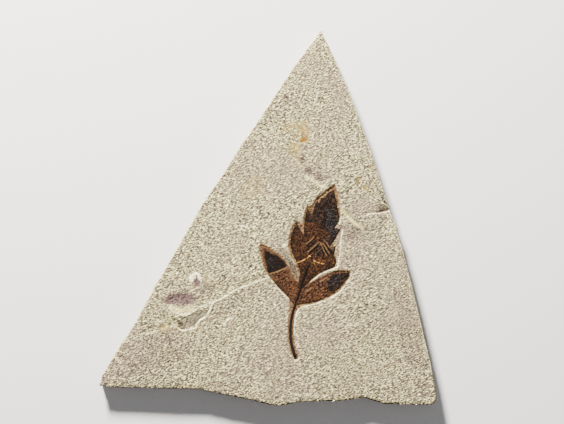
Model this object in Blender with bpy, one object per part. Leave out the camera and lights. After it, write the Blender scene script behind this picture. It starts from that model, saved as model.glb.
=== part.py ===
"""A fossil leaf plate: one compound leaf pressed into the face of a loose triangular plate of limestone.

The plate lies on its flat back, its face up. The origin is under the middle of its outline, +Y runs to the
tall corner and +Z is up. Every length is in millimetres until closed_solid() turns it into metres.
"""

import math
import random

import bpy
import numpy as np
from mathutils import Vector, geometry

METRES_PER_MM = 0.001

# Driving dimensions
PLATE_THICKNESS = 12.0
RECESS_DEPTH = 1.3
RECESS_WALL_LEAN = 0.35
FILM_THICKNESS = 0.5
CONTACT_GAP = 0.3
STALK_WIDTH_AT_FOOT = 1.6
STALK_WIDTH_AT_FORK = 1.1

# How far apart the points of each surface are: the face's grow from fine to coarse away from its features
EDGE_STEP = 3.3
COARSE_STEP = 5.2
FINE_STEP = 2.0
COARSENING = 0.3
FEATURE_CLEARANCE = 0.9
RECESS_STEP = 5.0
FILM_STEP = 2.6
BACK_STEP = 24.0
SEED = 11

RECESS_FLOOR = PLATE_THICKNESS - RECESS_DEPTH
FILM_BOTTOM = RECESS_FLOOR + CONTACT_GAP
FILM_TOP = FILM_BOTTOM + FILM_THICKNESS

# The plate's outline in plan, counter-clockwise from its tall corner
LEFT_EDGE = (
    (31.8, 112.8), (17.4, 93.9), (4.8, 74.7), (-7.8, 55.5), (-15.0, 45.9), (-27.0, 26.7), (-33.6, 17.1),
    (-40.2, 7.5), (-45.6, -2.1), (-56.4, -21.3), (-67.8, -40.5), (-78.0, -59.7), (-84.0, -69.3),
    (-87.6, -74.1), (-99.0, -93.3),
)
BOTTOM_EDGE = (
    (-101.4, -101.1), (-40.8, -102.3), (-27.6, -106.2), (-12.0, -109.2), (1.2, -112.5), (7.2, -113.1),
    (19.2, -110.7), (43.2, -110.1), (53.4, -108.9), (56.4, -107.7), (63.0, -109.8), (69.6, -111.9),
    (98.7, -112.5),
)
RIGHT_EDGE = (
    (101.4, -109.2), (97.8, -88.5), (88.8, -50.1), (81.6, -21.3), (78.6, -11.7), (77.7, -6.3), (73.8, 2.7),
    (67.8, 21.9), (58.2, 50.7), (47.4, 79.5), (38.4, 98.7),
)
PLATE_OUTLINE = LEFT_EDGE + BOTTOM_EDGE + RIGHT_EDGE

# The rim of the recess that the leaf lies in, counter-clockwise from the stalk's foot
RECESS_RIM = (
    (17.7, -85.6), (18.9, -84.0), (17.5, -80.4), (16.5, -76.2), (15.8, -71.7), (15.7, -66.3), (16.1, -61.5),
    (17.4, -56.4), (20.4, -53.5), (28.2, -52.0), (34.4, -49.6), (39.9, -46.8), (43.8, -43.8), (47.6, -38.7),
    (49.5, -36.0), (49.9, -32.4), (46.8, -31.7), (43.2, -31.5), (41.9, -29.4), (42.3, -26.4), (43.1, -22.2),
    (43.4, -15.9), (44.4, -9.0), (44.6, -6.0), (43.7, -2.4), (44.1, 0.6), (43.0, 8.7), (41.4, 15.6),
    (39.3, 18.9), (35.4, 16.5), (31.5, 13.5), (28.5, 11.4), (25.8, 6.6), (23.4, 7.2), (21.6, 2.4),
    (20.5, -4.5), (17.4, -1.6), (14.4, -5.1), (12.6, -11.1), (11.9, -16.5), (13.2, -21.9), (14.4, -25.8),
    (11.4, -26.7), (7.2, -22.2), (1.2, -18.0), (-3.6, -15.9), (-5.2, -16.2), (-4.8, -21.0), (-3.4, -27.0),
    (-1.2, -33.6), (4.2, -40.6), (8.4, -45.0), (12.6, -49.2), (13.2, -53.1), (12.2, -60.0), (11.8, -67.5),
    (12.2, -74.4), (13.8, -82.2), (15.6, -85.5),
)

# The leaf's lines
STALK_LINE = (
    (16.4, -83.9), (15.3, -80.4), (14.2, -76.5), (13.4, -72.0), (13.3, -67.5), (13.7, -61.5), (15.0, -55.8),
    (16.6, -50.7), (18.1, -46.8), (19.2, -43.0), (20.0, -40.8),
)
END_MIDRIB = (
    (20.5, -39.2), (21.9, -35.7), (24.0, -29.7), (27.0, -22.5), (30.0, -13.5), (32.4, -4.5), (35.4, 5.7),
    (38.7, 14.4),
)
LEFT_MIDRIB = ((14.4, -46.8), (9.6, -37.5), (2.4, -26.7), (-3.0, -18.6))
RIGHT_MIDRIB = ((20.7, -47.7), (26.4, -44.1), (32.4, -42.0), (38.4, -38.7), (47.4, -33.9))
FOLD_LINE = (
    (22.8, -15.9), (25.2, -14.1), (28.2, -12.0), (33.6, -13.5), (36.0, -17.1), (37.2, -20.1), (38.4, -23.1),
)

# Outlines of the three leaflets, counter-clockwise from the tip
END_OUTLINE = (
    (39.3, 16.5), (35.4, 14.1), (34.2, 11.7), (32.1, 12.0), (30.6, 8.1), (29.6, 10.8), (28.2, 7.5),
    (26.7, 2.7), (25.8, 1.5), (23.8, 5.7), (22.5, 2.1), (21.5, -4.5), (21.4, -10.5), (19.4, -7.5),
    (17.4, -3.0), (15.4, -6.3), (13.8, -10.5), (13.3, -16.5), (14.8, -21.9), (16.2, -24.6), (17.6, -28.2),
    (19.0, -31.5), (19.2, -34.5), (18.9, -38.4), (20.5, -39.9), (22.5, -40.2), (26.4, -36.3), (31.2, -33.0),
    (37.2, -30.9), (40.6, -26.7), (40.0, -22.5), (40.5, -17.1), (38.4, -15.9), (40.2, -14.7), (42.3, -8.7),
    (43.4, -6.9), (40.2, -5.1), (42.3, -1.5), (42.5, 0.3), (41.1, 7.5), (39.9, 13.5),
)
LEFT_OUTLINE = (
    (-4.2, -17.1), (-3.5, -23.1), (-1.7, -30.3), (2.4, -36.9), (6.2, -41.7), (10.8, -46.3), (14.0, -50.3),
    (14.8, -51.3), (16.5, -47.4), (17.7, -43.5), (18.4, -40.8), (17.7, -39.6), (14.7, -35.1), (11.7, -28.5),
    (8.4, -24.3), (4.2, -20.9), (-0.6, -17.9),
)
RIGHT_OUTLINE = (
    (48.9, -33.3), (44.7, -32.9), (40.2, -32.7), (36.0, -34.5), (31.2, -36.3), (25.8, -39.3), (22.6, -41.5),
    (21.2, -41.2), (20.0, -44.4), (18.3, -48.3), (17.0, -52.0), (22.2, -51.6), (28.2, -50.4), (34.8, -47.8),
    (39.6, -45.0), (43.6, -41.7), (46.8, -37.5), (48.3, -35.4),
)

# Relief of the plate's face. Each swelling: middle, half width, half length, turn in degrees, height
SWELLINGS = (
    ((-43.8, -35.7), 3.4, 3.8, 0.0, 1.4),
    ((-35.5, -37.5), 2.6, 6.0, -72.0, 0.6),
    ((-23.4, -63.3), 3.2, 3.2, 0.0, 1.2),
    ((-0.6, -92.7), 2.2, 4.4, -60.0, 0.6),
    ((70.2, -89.7), 3.2, 2.4, 0.0, 0.6),
    ((64.2, -100.5), 3.2, 2.4, 0.0, 0.5),
    ((-52.2, -51.6), 5.6, 9.0, -82.0, -1.5),
    ((-57.0, -63.6), 2.6, 3.6, -70.0, -0.7),
    ((-13.2, -0.9), 4.2, 5.4, 60.0, -0.6),
    ((70.0, 8.4), 2.4, 4.2, -75.0, -0.8),
)
# A ledge is the broken edge of a thin layer: the ground drops on its right-hand side and rises again slowly
LEAF_TO_LEFT_LEDGE = (
    (-2.4, -37.2), (-10.8, -41.1), (-16.8, -42.6), (-23.4, -46.5), (-33.0, -50.7), (-37.2, -58.5),
    (-43.8, -66.9), (-51.6, -68.1), (-58.8, -64.8), (-70.8, -69.9), (-84.0, -72.0),
)
CORNER_LEDGE = ((-99.0, -96.0), (-70.0, -98.6), (-40.8, -100.0), (-24.0, -104.4), (4.0, -111.0))
# Each ledge: line, drop, how far off the ground is level again
LEDGES = (
    (LEAF_TO_LEFT_LEDGE, 0.9, 16.0),
    (CORNER_LEDGE, 0.8, 3.0),
)
LEDGE_FOOT = 1.0
LIP_SHARE = 0.25
LIP_MIDDLE = 0.8
LIP_WIDTH = 1.6
# Each groove: line, depth, half width
GROOVES = (
    (((15.0, 36.0), (22.5, 25.8), (33.0, 18.6)), 0.9, 1.6),
    (((45.0, 3.0), (49.8, -1.2), (56.4, -5.4), (63.0, -6.6)), 0.7, 1.9),
    (((57.0, 3.0), (66.0, 3.6), (73.0, 5.1)), 0.9, 1.4),
)

# The broken edge in layers: height as a share of the thickness, and how far the layer stands back
EDGE_LAYERS = ((0.86, 0.25), (0.80, 1.05), (0.58, 0.55), (0.50, 1.35), (0.22, 0.75), (0.0, 1.5))
EDGE_ROUNDING = 0.5
EDGE_RAGGEDNESS = 0.25
LAYER_RAGGEDNESS = 0.35

# Relief of the carbon film
VEIN_RISE = 0.25
FOLD_RISE = 0.4
RIDGE_HALF_WIDTH = 0.6
STALK_RIDGE = 0.35
FILM_EDGE_DROP = 0.1
CRINKLE = 0.08

STONE_COLOUR = (0.52, 0.46, 0.35)
STALK_COLOUR = (0.035, 0.022, 0.015)
END_LEAFLET_COLOUR = (0.052, 0.030, 0.020)
LEFT_LEAFLET_COLOUR = (0.085, 0.045, 0.024)
RIGHT_LEAFLET_COLOUR = (0.095, 0.048, 0.027)


def clear_scene():
    """Takes away whatever objects the scene starts with."""
    for thing in list(bpy.data.objects):
        bpy.data.objects.remove(thing, do_unlink=True)


def finish(name, colour, roughness):
    """A plain Principled finish."""
    material = bpy.data.materials.new(name)
    material.use_nodes = True
    shader = material.node_tree.nodes["Principled BSDF"]
    shader.inputs["Base Color"].default_value = (*colour, 1.0)
    shader.inputs["Roughness"].default_value = roughness
    shader.inputs["Metallic"].default_value = 0.0
    return material


def from_line(x, y, line):
    """How far each point lies from a broken line, positive on its left, and how far along it, from 0 to 1."""
    nearest = np.full(x.shape, np.inf)
    side = np.ones(x.shape)
    along = np.zeros(x.shape)
    for index, ((ax, ay), (bx, by)) in enumerate(zip(line, line[1:])):
        dx, dy = bx - ax, by - ay
        share = np.clip(((x - ax) * dx + (y - ay) * dy) / (dx * dx + dy * dy), 0.0, 1.0)
        away = np.hypot(x - ax - share * dx, y - ay - share * dy)
        closer = away < nearest
        nearest = np.where(closer, away, nearest)
        side = np.where(closer, np.sign(dx * (y - ay) - dy * (x - ax)), side)
        along = np.where(closer, (index + share) / (len(line) - 1), along)
    return nearest * side, along


def from_loop(x, y, loop):
    """How far each point lies from a closed loop."""
    return np.abs(from_line(x, y, tuple(loop) + (tuple(loop[0]),))[0])


def inside(x, y, loop):
    """Whether each point lies inside a closed loop, by counting the sides it has to its right."""
    crossings = np.zeros(x.shape, int)
    for (ax, ay), (bx, by) in zip(loop, np.roll(loop, -1, axis=0)):
        if ay == by:
            continue
        spans = (ay > y) != (by > y)
        crossings += spans & (x < ax + (y - ay) * (bx - ax) / (by - ay))
    return crossings % 2 == 1


def fading_ends(along, share):
    """1 along most of a line, falling to 0 at both its ends."""
    return np.clip(np.minimum(along, 1.0 - along) / share, 0.0, 1.0)


def swelling(x, y, middle, half_width, half_length, turn, height):
    """An oval mound, or a pit if its height is negative: height x (1 - r squared) squared inside r = 1."""
    turn = math.radians(turn)
    dx, dy = x - middle[0], y - middle[1]
    across = (dx * math.cos(turn) + dy * math.sin(turn)) / half_width
    along = (dy * math.cos(turn) - dx * math.sin(turn)) / half_length
    return height * np.clip(1.0 - across**2 - along**2, 0.0, 1.0) ** 2


def ledge(x, y, line, drop, reach):
    """A sharp drop on a line's right, which dies away over the reach, and a slight swelling on its left."""
    away, along = from_line(x, y, line)
    low = np.clip(-away / LEDGE_FOOT, 0.0, 1.0) * np.exp(-np.clip(-away, 0.0, None) / reach)
    lip = LIP_SHARE * np.exp(-(((away - LIP_MIDDLE) / LIP_WIDTH) ** 2))
    return fading_ends(along, 0.12) * drop * (lip - low)


def groove(x, y, line, depth, half_width):
    """A furrow along a line: minus depth x exp(-(distance / half width) squared)."""
    away, along = from_line(x, y, line)
    return -fading_ends(along, 0.3) * depth * np.exp(-((away / half_width) ** 2))


def undulation(x, y):
    """The gentle unevenness of a split face: three slow waves and two quick small ones."""
    slow = np.sin(0.052 * x + 0.031 * y) + np.sin(0.083 * y - 0.044 * x + 1.9) + np.sin(0.117 * x + 2.4)
    quick = np.sin(0.91 * x + 0.63 * y) + np.sin(0.77 * y - 0.98 * x + 0.8)
    return 0.12 * slow + 0.09 * quick


def relief(x, y):
    """Height of the plate's face over its mean level."""
    height = undulation(x, y)
    for mound in SWELLINGS:
        height += swelling(x, y, *mound)
    for line, drop, reach in LEDGES:
        height += ledge(x, y, line, drop, reach)
    for line, depth, half_width in GROOVES:
        height += groove(x, y, line, depth, half_width)
    return height


def stepped(line, step):
    """Points along an open broken line, no further apart than the step, and the unit vectors to its left."""
    points, lefts = [], []
    for start, end in zip(np.array(line), np.array(line)[1:]):
        along = end - start
        count = max(1, round(np.linalg.norm(along) / step))
        points.extend(start + np.arange(count)[:, None] / count * along)
        lefts.extend([np.array([-along[1], along[0]]) / np.linalg.norm(along)] * count)
    return np.array(points), np.array(lefts)


def feature_points():
    """Points that hold the shape of the relief: the feet and brows of ledges, the beds and banks of grooves,
    and the summit and the flanks of each swelling."""
    found = []
    for line, _, _ in LEDGES:
        points, lefts = stepped(line, FINE_STEP)
        found += [points, points - lefts * LEDGE_FOOT]
    for line, _, half_width in GROOVES:
        points, lefts = stepped(line, FINE_STEP)
        bank = lefts * 1.5 * half_width
        found += [points, points + bank, points - bank]
    for middle, half_width, half_length, turn, _ in SWELLINGS:
        turn = math.radians(turn)
        angles = np.arange(10) / 10 * math.tau
        for ring in (0.0, 0.5, 0.95):
            across, along = ring * half_width * np.cos(angles), ring * half_length * np.sin(angles)
            x = across * math.cos(turn) - along * math.sin(turn)
            y = across * math.sin(turn) + along * math.cos(turn)
            found.append(np.array(middle) + np.column_stack([x, y])[: 10 if ring else 1])
    return np.vstack(found)


def thinned(points, spacing):
    """The points, without any that lies closer than the spacing to one kept before it."""
    kept = []
    for point in points:
        if not kept or np.min(np.hypot(*(np.array(kept) - point).T)) > spacing:
            kept.append(point)
    return np.array(kept)


def subdivided(loop, step):
    """A closed loop with points added on its straight sides, no further apart than the step."""
    points = []
    for start, end in zip(np.array(loop), np.roll(loop, -1, axis=0)):
        count = max(1, round(math.dist(start, end) / step))
        shares = np.arange(count)[:, None] / count
        points.extend(start + shares * (end - start))
    return np.array(points)


def inward(loop):
    """Unit vectors that point into a counter-clockwise loop, one for each of its points."""
    along = np.roll(loop, -1, axis=0) - np.roll(loop, 1, axis=0)
    normals = np.stack([-along[:, 1], along[:, 0]], axis=1)
    return normals / np.linalg.norm(normals, axis=1)[:, None]


def scattered(loops, spacing_at, step, margin, chance, first=()):
    """Points strewn inside the first loop, at least the local spacing apart and clear of every loop's line.
    They keep clear of the first points too, which come back ahead of them."""
    outer = loops[0]
    low, high = outer.min(axis=0), outer.max(axis=0)
    grid = np.mgrid[low[0] : high[0] : step, low[1] : high[1] : step].reshape(2, -1).T
    grid = grid + np.array([[chance.uniform(-0.45, 0.45), chance.uniform(-0.45, 0.45)] for _ in grid]) * step
    x, y = grid.T
    spacing = spacing_at(x, y)
    keep = inside(x, y, outer)
    for loop in loops:
        keep &= from_loop(x, y, loop) > margin * spacing
    grid, spacing = grid[keep], spacing[keep]
    kept = list(first)
    for index in sorted(range(len(grid)), key=lambda item: (spacing[item], chance.random())):
        point = grid[index]
        if not kept or np.min(np.hypot(*(np.array(kept) - point).T)) > spacing[index]:
            kept.append(point)
    return np.array(kept).reshape(-1, 2)


def triangles(points, loops):
    """Triangles over the points, with every loop's sides kept as edges and nothing outside the first loop."""
    edges = []
    for start, count in loops:
        edges += [(start + k, start + (k + 1) % count) for k in range(count)]
    flat = [Vector((float(x), float(y))) for x, y in points]
    made = geometry.delaunay_2d_cdt(flat, edges, [], 1, 1e-5)
    source = [origins[0] for origins in made[3]]
    return [tuple(source[corner] for corner in face) for face in made[2]]


def at_height(points, height):
    """Points in plan lifted to one height, or to a height each."""
    return np.column_stack([points, np.broadcast_to(height, len(points))])


def closed_solid(name, top, top_faces, rings, bottom_extra, material):
    """A solid under a triangulated top, whose outline comes first in it: walls through the rings, then a flat
    base."""
    count = len(rings[0])
    vertices = [*top]
    faces = [tuple(face) for face in top_faces]
    above = list(range(count))
    for ring in rings:
        below = list(range(len(vertices), len(vertices) + count))
        vertices.extend(ring)
        for k in range(count):
            after = (k + 1) % count
            faces.append((above[k], below[k], below[after]))
            faces.append((above[k], below[after], above[after]))
        above = below
    base = np.vstack([np.asarray(rings[-1])[:, :2], bottom_extra])
    base_index = above + list(range(len(vertices), len(vertices) + len(bottom_extra)))
    vertices.extend(at_height(bottom_extra, rings[-1][0][2]))
    for face in triangles(base, [(0, count)]):
        faces.append(tuple(base_index[corner] for corner in reversed(face)))
    mesh = bpy.data.meshes.new(name)
    mesh.from_pydata((np.array(vertices) * METRES_PER_MM).tolist(), [], faces)
    mesh.materials.append(material)
    solid = bpy.data.objects.new(name, mesh)
    bpy.context.collection.objects.link(solid)
    return solid


def stone_slab(chance):
    """The plate: an uneven face with the leaf's recess in it, edges broken in layers, and a flat back."""
    outline = subdivided(PLATE_OUTLINE, EDGE_STEP)
    into = inward(outline)
    ragged = np.array([chance.uniform(0.0, EDGE_RAGGEDNESS) for _ in outline])
    corners = [index for index, point in enumerate(outline) if tuple(point) in PLATE_OUTLINE]
    ragged[corners] = 0.0
    outline = outline + into * ragged[:, None]
    rim = np.array(RECESS_RIM)
    floor = rim + inward(rim) * RECESS_WALL_LEAN

    features = feature_points()
    features = features[inside(*features.T, outline) & ~inside(*features.T, rim)]
    for loop in (outline, rim):
        features = features[from_loop(*features.T, loop) > FEATURE_CLEARANCE]
    features = thinned(features, FINE_STEP / 2)

    def spacing_at(x, y):
        away = np.min(np.hypot(x[:, None] - features[:, 0], y[:, None] - features[:, 1]), axis=1)
        return np.clip(FINE_STEP + COARSENING * (away - FINE_STEP), FINE_STEP, COARSE_STEP)

    open_ground = scattered([outline, rim], spacing_at, FINE_STEP, 0.5, chance, features)
    open_ground = open_ground[~inside(*open_ground.T, rim)]
    recess_ground = scattered([floor], lambda x, y: np.full(x.shape, RECESS_STEP), RECESS_STEP, 0.3, chance)
    plan = np.vstack([outline, rim, floor, open_ground, recess_ground])
    first_rim = len(outline)
    first_floor = first_rim + len(rim)
    first_open = first_floor + len(floor)
    first_recess = first_open + len(open_ground)
    height = PLATE_THICKNESS + relief(*plan.T)
    height[:first_rim] -= EDGE_ROUNDING
    height[first_floor:first_open] = RECESS_FLOOR
    height[first_recess:] = RECESS_FLOOR
    loops = [(0, len(outline)), (first_rim, len(rim)), (first_floor, len(floor))]

    rings = []
    for share, stands_back in EDGE_LAYERS:
        back = stands_back + np.array([chance.uniform(-1.0, 1.0) for _ in outline]) * LAYER_RAGGEDNESS
        back = (back + np.roll(back, 1)) / 2
        rings.append(at_height(outline + into * back[:, None], share * PLATE_THICKNESS))
    base_ground = scattered(
        [rings[-1][:, :2]], lambda x, y: np.full(x.shape, BACK_STEP), BACK_STEP, 0.4, chance
    )
    stone = finish("limestone", STONE_COLOUR, 0.85)
    closed_solid("stone_slab", at_height(plan, height), triangles(plan, loops), rings, base_ground, stone)


def leaflet(name, outline, ridges, colour, chance):
    """A flake of carbon film: flat below, with its midrib and folds raised above."""
    outline = np.array(outline)
    on_ridges = np.vstack([stepped(line, FILM_STEP)[0] for line, _ in ridges])
    on_ridges = on_ridges[from_loop(*on_ridges.T, outline) > 0.5]
    fill = scattered([outline], lambda x, y: np.full(x.shape, FILM_STEP), FILM_STEP, 0.4, chance)
    clear = [np.min(np.hypot(*(on_ridges - point).T)) > 0.5 * FILM_STEP for point in fill]
    plan = np.vstack([outline, on_ridges, fill[clear]])
    height = FILM_TOP + CRINKLE * np.sin(1.1 * plan[:, 0]) * np.sin(1.3 * plan[:, 1])
    for line, rise in ridges:
        away, _ = from_line(*plan.T, line)
        height += rise * np.exp(-((away / RIDGE_HALF_WIDTH) ** 2))
    height[: len(outline)] = FILM_TOP - FILM_EDGE_DROP
    rings = [at_height(outline, FILM_BOTTOM)]
    film = finish(name + "_film", colour, 0.55)
    nothing = np.empty((0, 2))
    closed_solid(name, at_height(plan, height), triangles(plan, [(0, len(outline))]), rings, nothing, film)


def leaf_stalk():
    """The stalk: a low ridged strip carried along its line, wider at the foot than at the fork."""
    line = np.array(STALK_LINE)
    along = np.gradient(line, axis=0)
    across = np.stack([-along[:, 1], along[:, 0]], axis=1) / np.linalg.norm(along, axis=1)[:, None]
    half = np.linspace(STALK_WIDTH_AT_FOOT, STALK_WIDTH_AT_FORK, len(line))[:, None] / 2
    left, right = line + across * half, line - across * half
    outline = np.vstack([right, left[::-1]])
    plan = np.vstack([outline, line[1:-1]])
    height = np.full(len(plan), FILM_TOP)
    height[len(outline) :] += STALK_RIDGE
    rings = [at_height(outline, FILM_BOTTOM)]
    film = finish("stalk_film", STALK_COLOUR, 0.5)
    nothing = np.empty((0, 2))
    top_faces = triangles(plan, [(0, len(outline))])
    closed_solid("leaf_stalk", at_height(plan, height), top_faces, rings, nothing, film)


def build():
    clear_scene()
    chance = random.Random(SEED)
    stone_slab(chance)
    leaf_stalk()
    leaflet("left_leaflet", LEFT_OUTLINE, ((LEFT_MIDRIB, VEIN_RISE),), LEFT_LEAFLET_COLOUR, chance)
    leaflet("right_leaflet", RIGHT_OUTLINE, ((RIGHT_MIDRIB, VEIN_RISE),), RIGHT_LEAFLET_COLOUR, chance)
    end_ridges = ((END_MIDRIB, VEIN_RISE), (FOLD_LINE, FOLD_RISE))
    leaflet("end_leaflet", END_OUTLINE, end_ridges, END_LEAFLET_COLOUR, chance)


build()
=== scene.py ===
# %% [markdown]
# A fossil leaf plate
#
# The object is a loose triangular plate of pale limestone. A leaf sank into lime mud, was pressed flat and
# turned to a film of carbon, and the stone was later split along its layer. This lesson builds the stone as
# one closed mesh whose height is a function of the place on its face, then lays the leaf's pieces in the
# hollow. The first cell loads the model that gives every piece its place.

# %% Load the frame
import math

import bpy
import numpy as np
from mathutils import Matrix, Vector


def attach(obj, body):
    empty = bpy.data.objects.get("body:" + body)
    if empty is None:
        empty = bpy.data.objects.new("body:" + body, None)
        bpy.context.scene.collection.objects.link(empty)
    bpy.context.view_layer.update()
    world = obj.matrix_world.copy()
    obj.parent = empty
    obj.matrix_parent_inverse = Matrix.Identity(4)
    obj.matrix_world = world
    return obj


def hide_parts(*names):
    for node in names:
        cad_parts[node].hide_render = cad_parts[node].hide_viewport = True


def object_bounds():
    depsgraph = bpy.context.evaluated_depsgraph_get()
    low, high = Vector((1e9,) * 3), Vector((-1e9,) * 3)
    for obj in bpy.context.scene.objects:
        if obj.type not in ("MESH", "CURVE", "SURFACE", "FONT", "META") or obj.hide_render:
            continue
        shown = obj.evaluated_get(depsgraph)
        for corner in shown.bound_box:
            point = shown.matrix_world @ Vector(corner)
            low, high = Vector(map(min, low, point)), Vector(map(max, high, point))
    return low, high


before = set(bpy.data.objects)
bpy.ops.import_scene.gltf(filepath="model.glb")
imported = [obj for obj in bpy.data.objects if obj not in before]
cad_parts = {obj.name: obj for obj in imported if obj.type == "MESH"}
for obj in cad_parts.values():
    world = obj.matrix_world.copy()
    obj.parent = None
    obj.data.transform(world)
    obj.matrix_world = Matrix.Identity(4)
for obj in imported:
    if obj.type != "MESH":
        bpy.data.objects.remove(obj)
cad_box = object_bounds()

# %% [markdown]
# All shapes are worked out in millimetres, because that is how a stone this size is measured, and turned
# into metres only when a mesh is made. The plate lies on its back: x and y run over its face and z is up.

# %% Sizes and outlines, in millimetres
METRES_PER_MM = 0.001

PLATE_THICKNESS = 12.0
RECESS_DEPTH = 1.3
RECESS_WALL_LEAN = 0.5
FILM_THICKNESS = 0.5
CONTACT_GAP = 0.3
FILM_TOP = PLATE_THICKNESS - RECESS_DEPTH + CONTACT_GAP + FILM_THICKNESS
FILM_SEAT = 11.22
RECESS_FLOOR = FILM_SEAT - 0.04

# The plate's outline, counter-clockwise from its tall corner
LEFT_EDGE = (
    (31.8, 112.8), (17.4, 93.9), (4.8, 74.7), (-7.8, 55.5), (-15.0, 45.9), (-27.0, 26.7), (-33.6, 17.1),
    (-40.2, 7.5), (-45.6, -2.1), (-56.4, -21.3), (-67.8, -40.5), (-78.0, -59.7), (-84.0, -69.3),
    (-87.6, -74.1), (-99.0, -93.3),
)
BOTTOM_EDGE = (
    (-101.4, -101.1), (-40.8, -102.3), (-27.6, -106.2), (-12.0, -109.2), (1.2, -112.5), (7.2, -113.1),
    (19.2, -110.7), (43.2, -110.1), (53.4, -108.9), (56.4, -107.7), (63.0, -109.8), (69.6, -111.9),
    (98.7, -112.5),
)
RIGHT_EDGE = (
    (101.4, -109.2), (97.8, -88.5), (88.8, -50.1), (81.6, -21.3), (78.6, -11.7), (77.7, -6.3), (73.8, 2.7),
    (67.8, 21.9), (58.2, 50.7), (47.4, 79.5), (38.4, 98.7),
)
PLATE_OUTLINE = LEFT_EDGE + BOTTOM_EDGE + RIGHT_EDGE

# The rim of the recess that the leaf lies in, counter-clockwise from the stalk's foot
RECESS_RIM = (
    (17.7, -85.6), (18.9, -84.0), (17.5, -80.4), (16.5, -76.2), (15.8, -71.7), (15.7, -66.3), (16.1, -61.5),
    (17.4, -56.4), (20.4, -53.5), (28.2, -52.0), (34.4, -49.6), (39.9, -46.8), (43.8, -43.8), (47.6, -38.7),
    (49.5, -36.0), (49.9, -32.4), (46.8, -31.7), (43.2, -31.5), (40.5, -31.9), (36.6, -33.4), (31.2, -35.8),
    (28.2, -37.4), (25.6, -38.8), (27.8, -36.8), (31.2, -34.2), (34.2, -32.7), (38.4, -31.2), (41.9, -29.4),
    (42.3, -26.4), (43.1, -22.2), (43.4, -15.9), (44.4, -9.0), (44.9, -6.2), (42.6, -3.9), (44.0, 0.6),
    (43.0, 8.7), (41.6, 15.6), (40.0, 20.4), (35.4, 17.0), (31.5, 13.5), (28.5, 11.4), (25.8, 6.6),
    (23.4, 7.2), (21.6, 2.4), (20.5, -4.5), (17.4, -1.6), (14.4, -5.1), (12.6, -11.1), (11.9, -16.5),
    (12.9, -21.6), (14.2, -24.6), (16.2, -27.8), (17.5, -31.2), (18.1, -34.8), (17.8, -38.6), (16.5, -36.8),
    (14.6, -32.6), (11.6, -27.4), (7.2, -22.2), (1.2, -18.0), (-3.6, -15.9), (-5.2, -16.2), (-4.8, -21.0),
    (-3.4, -27.0), (-1.2, -33.6), (4.2, -40.6), (8.4, -45.0), (12.6, -49.2), (13.2, -53.1), (12.2, -60.0),
    (11.8, -67.5), (12.2, -74.4), (13.8, -82.2), (15.6, -85.5),
)

# The leaf's lines and the outlines of its leaflets, counter-clockwise from the tip
STALK_LINE = (
    (16.4, -83.9), (15.3, -80.4), (14.2, -76.5), (13.4, -72.0), (13.3, -67.5), (13.7, -61.5), (15.0, -55.8),
    (16.6, -50.7), (18.1, -46.8), (19.2, -43.0), (20.0, -40.8),
)
END_MIDRIB = (
    (20.0, -40.8), (21.9, -35.7), (24.0, -29.7), (27.0, -22.5), (30.0, -13.5), (32.4, -4.5), (35.4, 5.7),
    (38.9, 15.9),
)
LEFT_MIDRIB = ((15.6, -50.0), (14.4, -46.8), (9.6, -37.5), (2.4, -26.7), (-3.9, -17.7))
RIGHT_MIDRIB = ((18.0, -49.5), (20.7, -47.7), (26.4, -44.1), (32.4, -42.0), (38.4, -38.7), (48.6, -33.6))
END_OUTLINE = (
    (39.5, 16.9), (35.4, 14.3), (34.2, 11.7), (32.1, 12.0), (30.6, 8.1), (29.6, 10.8), (28.2, 7.5),
    (26.7, 2.7), (25.8, 1.5), (23.8, 5.7), (22.5, 2.1), (21.5, -4.5), (21.4, -10.5), (19.4, -7.5),
    (17.4, -3.0), (15.4, -6.3), (13.8, -10.5), (13.3, -16.5), (14.8, -21.9), (16.2, -24.6), (17.6, -28.2),
    (19.0, -31.5), (19.2, -34.5), (18.7, -37.4), (18.0, -39.6), (18.4, -44.0), (19.6, -44.6), (22.2, -41.0),
    (26.4, -36.7), (31.2, -33.2),
    (37.2, -30.9), (39.8, -29.8), (41.0, -27.4), (40.8, -24.4), (39.5, -22.5), (40.1, -20.1), (40.8, -16.9),
    (37.3, -17.7), (37.5, -16.5), (39.3, -14.6), (40.8, -12.2), (42.0, -9.5), (43.8, -6.7), (39.8, -6.6),
    (41.0, -4.8), (42.4, -1.8), (42.8, 0.4), (42.2, 3.6), (41.2, 8.7), (40.3, 13.5),
)
LEFT_OUTLINE = (
    (-4.2, -17.1), (-3.5, -23.1), (-1.7, -30.3), (2.4, -36.9), (6.2, -41.7), (10.8, -46.3), (14.0, -50.3),
    (15.2, -52.6), (16.6, -50.7), (18.1, -46.8), (19.0, -43.6), (18.6, -40.4), (17.5, -38.9), (14.7, -35.1),
    (11.7, -28.5), (8.4, -24.3), (4.2, -20.9), (-0.6, -17.9),
)
RIGHT_OUTLINE = (
    (48.9, -33.3), (44.7, -32.9), (40.2, -32.7), (36.0, -34.5), (31.2, -36.3), (25.8, -39.3), (22.6, -41.5),
    (20.6, -42.4), (19.2, -43.0), (18.1, -46.8), (16.6, -50.7), (16.2, -52.4), (22.2, -51.8), (28.2, -50.6),
    (34.8, -47.9), (39.6, -45.0), (43.6, -41.7), (46.8, -37.5), (48.3, -35.4),
)

# %% [markdown]
# Three small tools for lines: one spaces points evenly, one rounds a loop's corners as weathering does, and
# one measures from many places at once to a line, for every ledge, vein and stain.

# %% Lines and distances
SEGMENTS_AT_ONCE = 24


def evenly(line, step, closed=False):
    """Points a step apart along a broken line, read back from its running length at even shares."""
    line = np.asarray(line, float)
    if closed:
        line = np.vstack([line, line[:1]])
    run = np.concatenate([[0.0], np.cumsum(np.hypot(*np.diff(line, axis=0).T))])
    shares = np.linspace(0.0, run[-1], max(4, round(run[-1] / step)), endpoint=not closed)
    return np.column_stack([np.interp(shares, run, line[:, axis]) for axis in (0, 1)])


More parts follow.
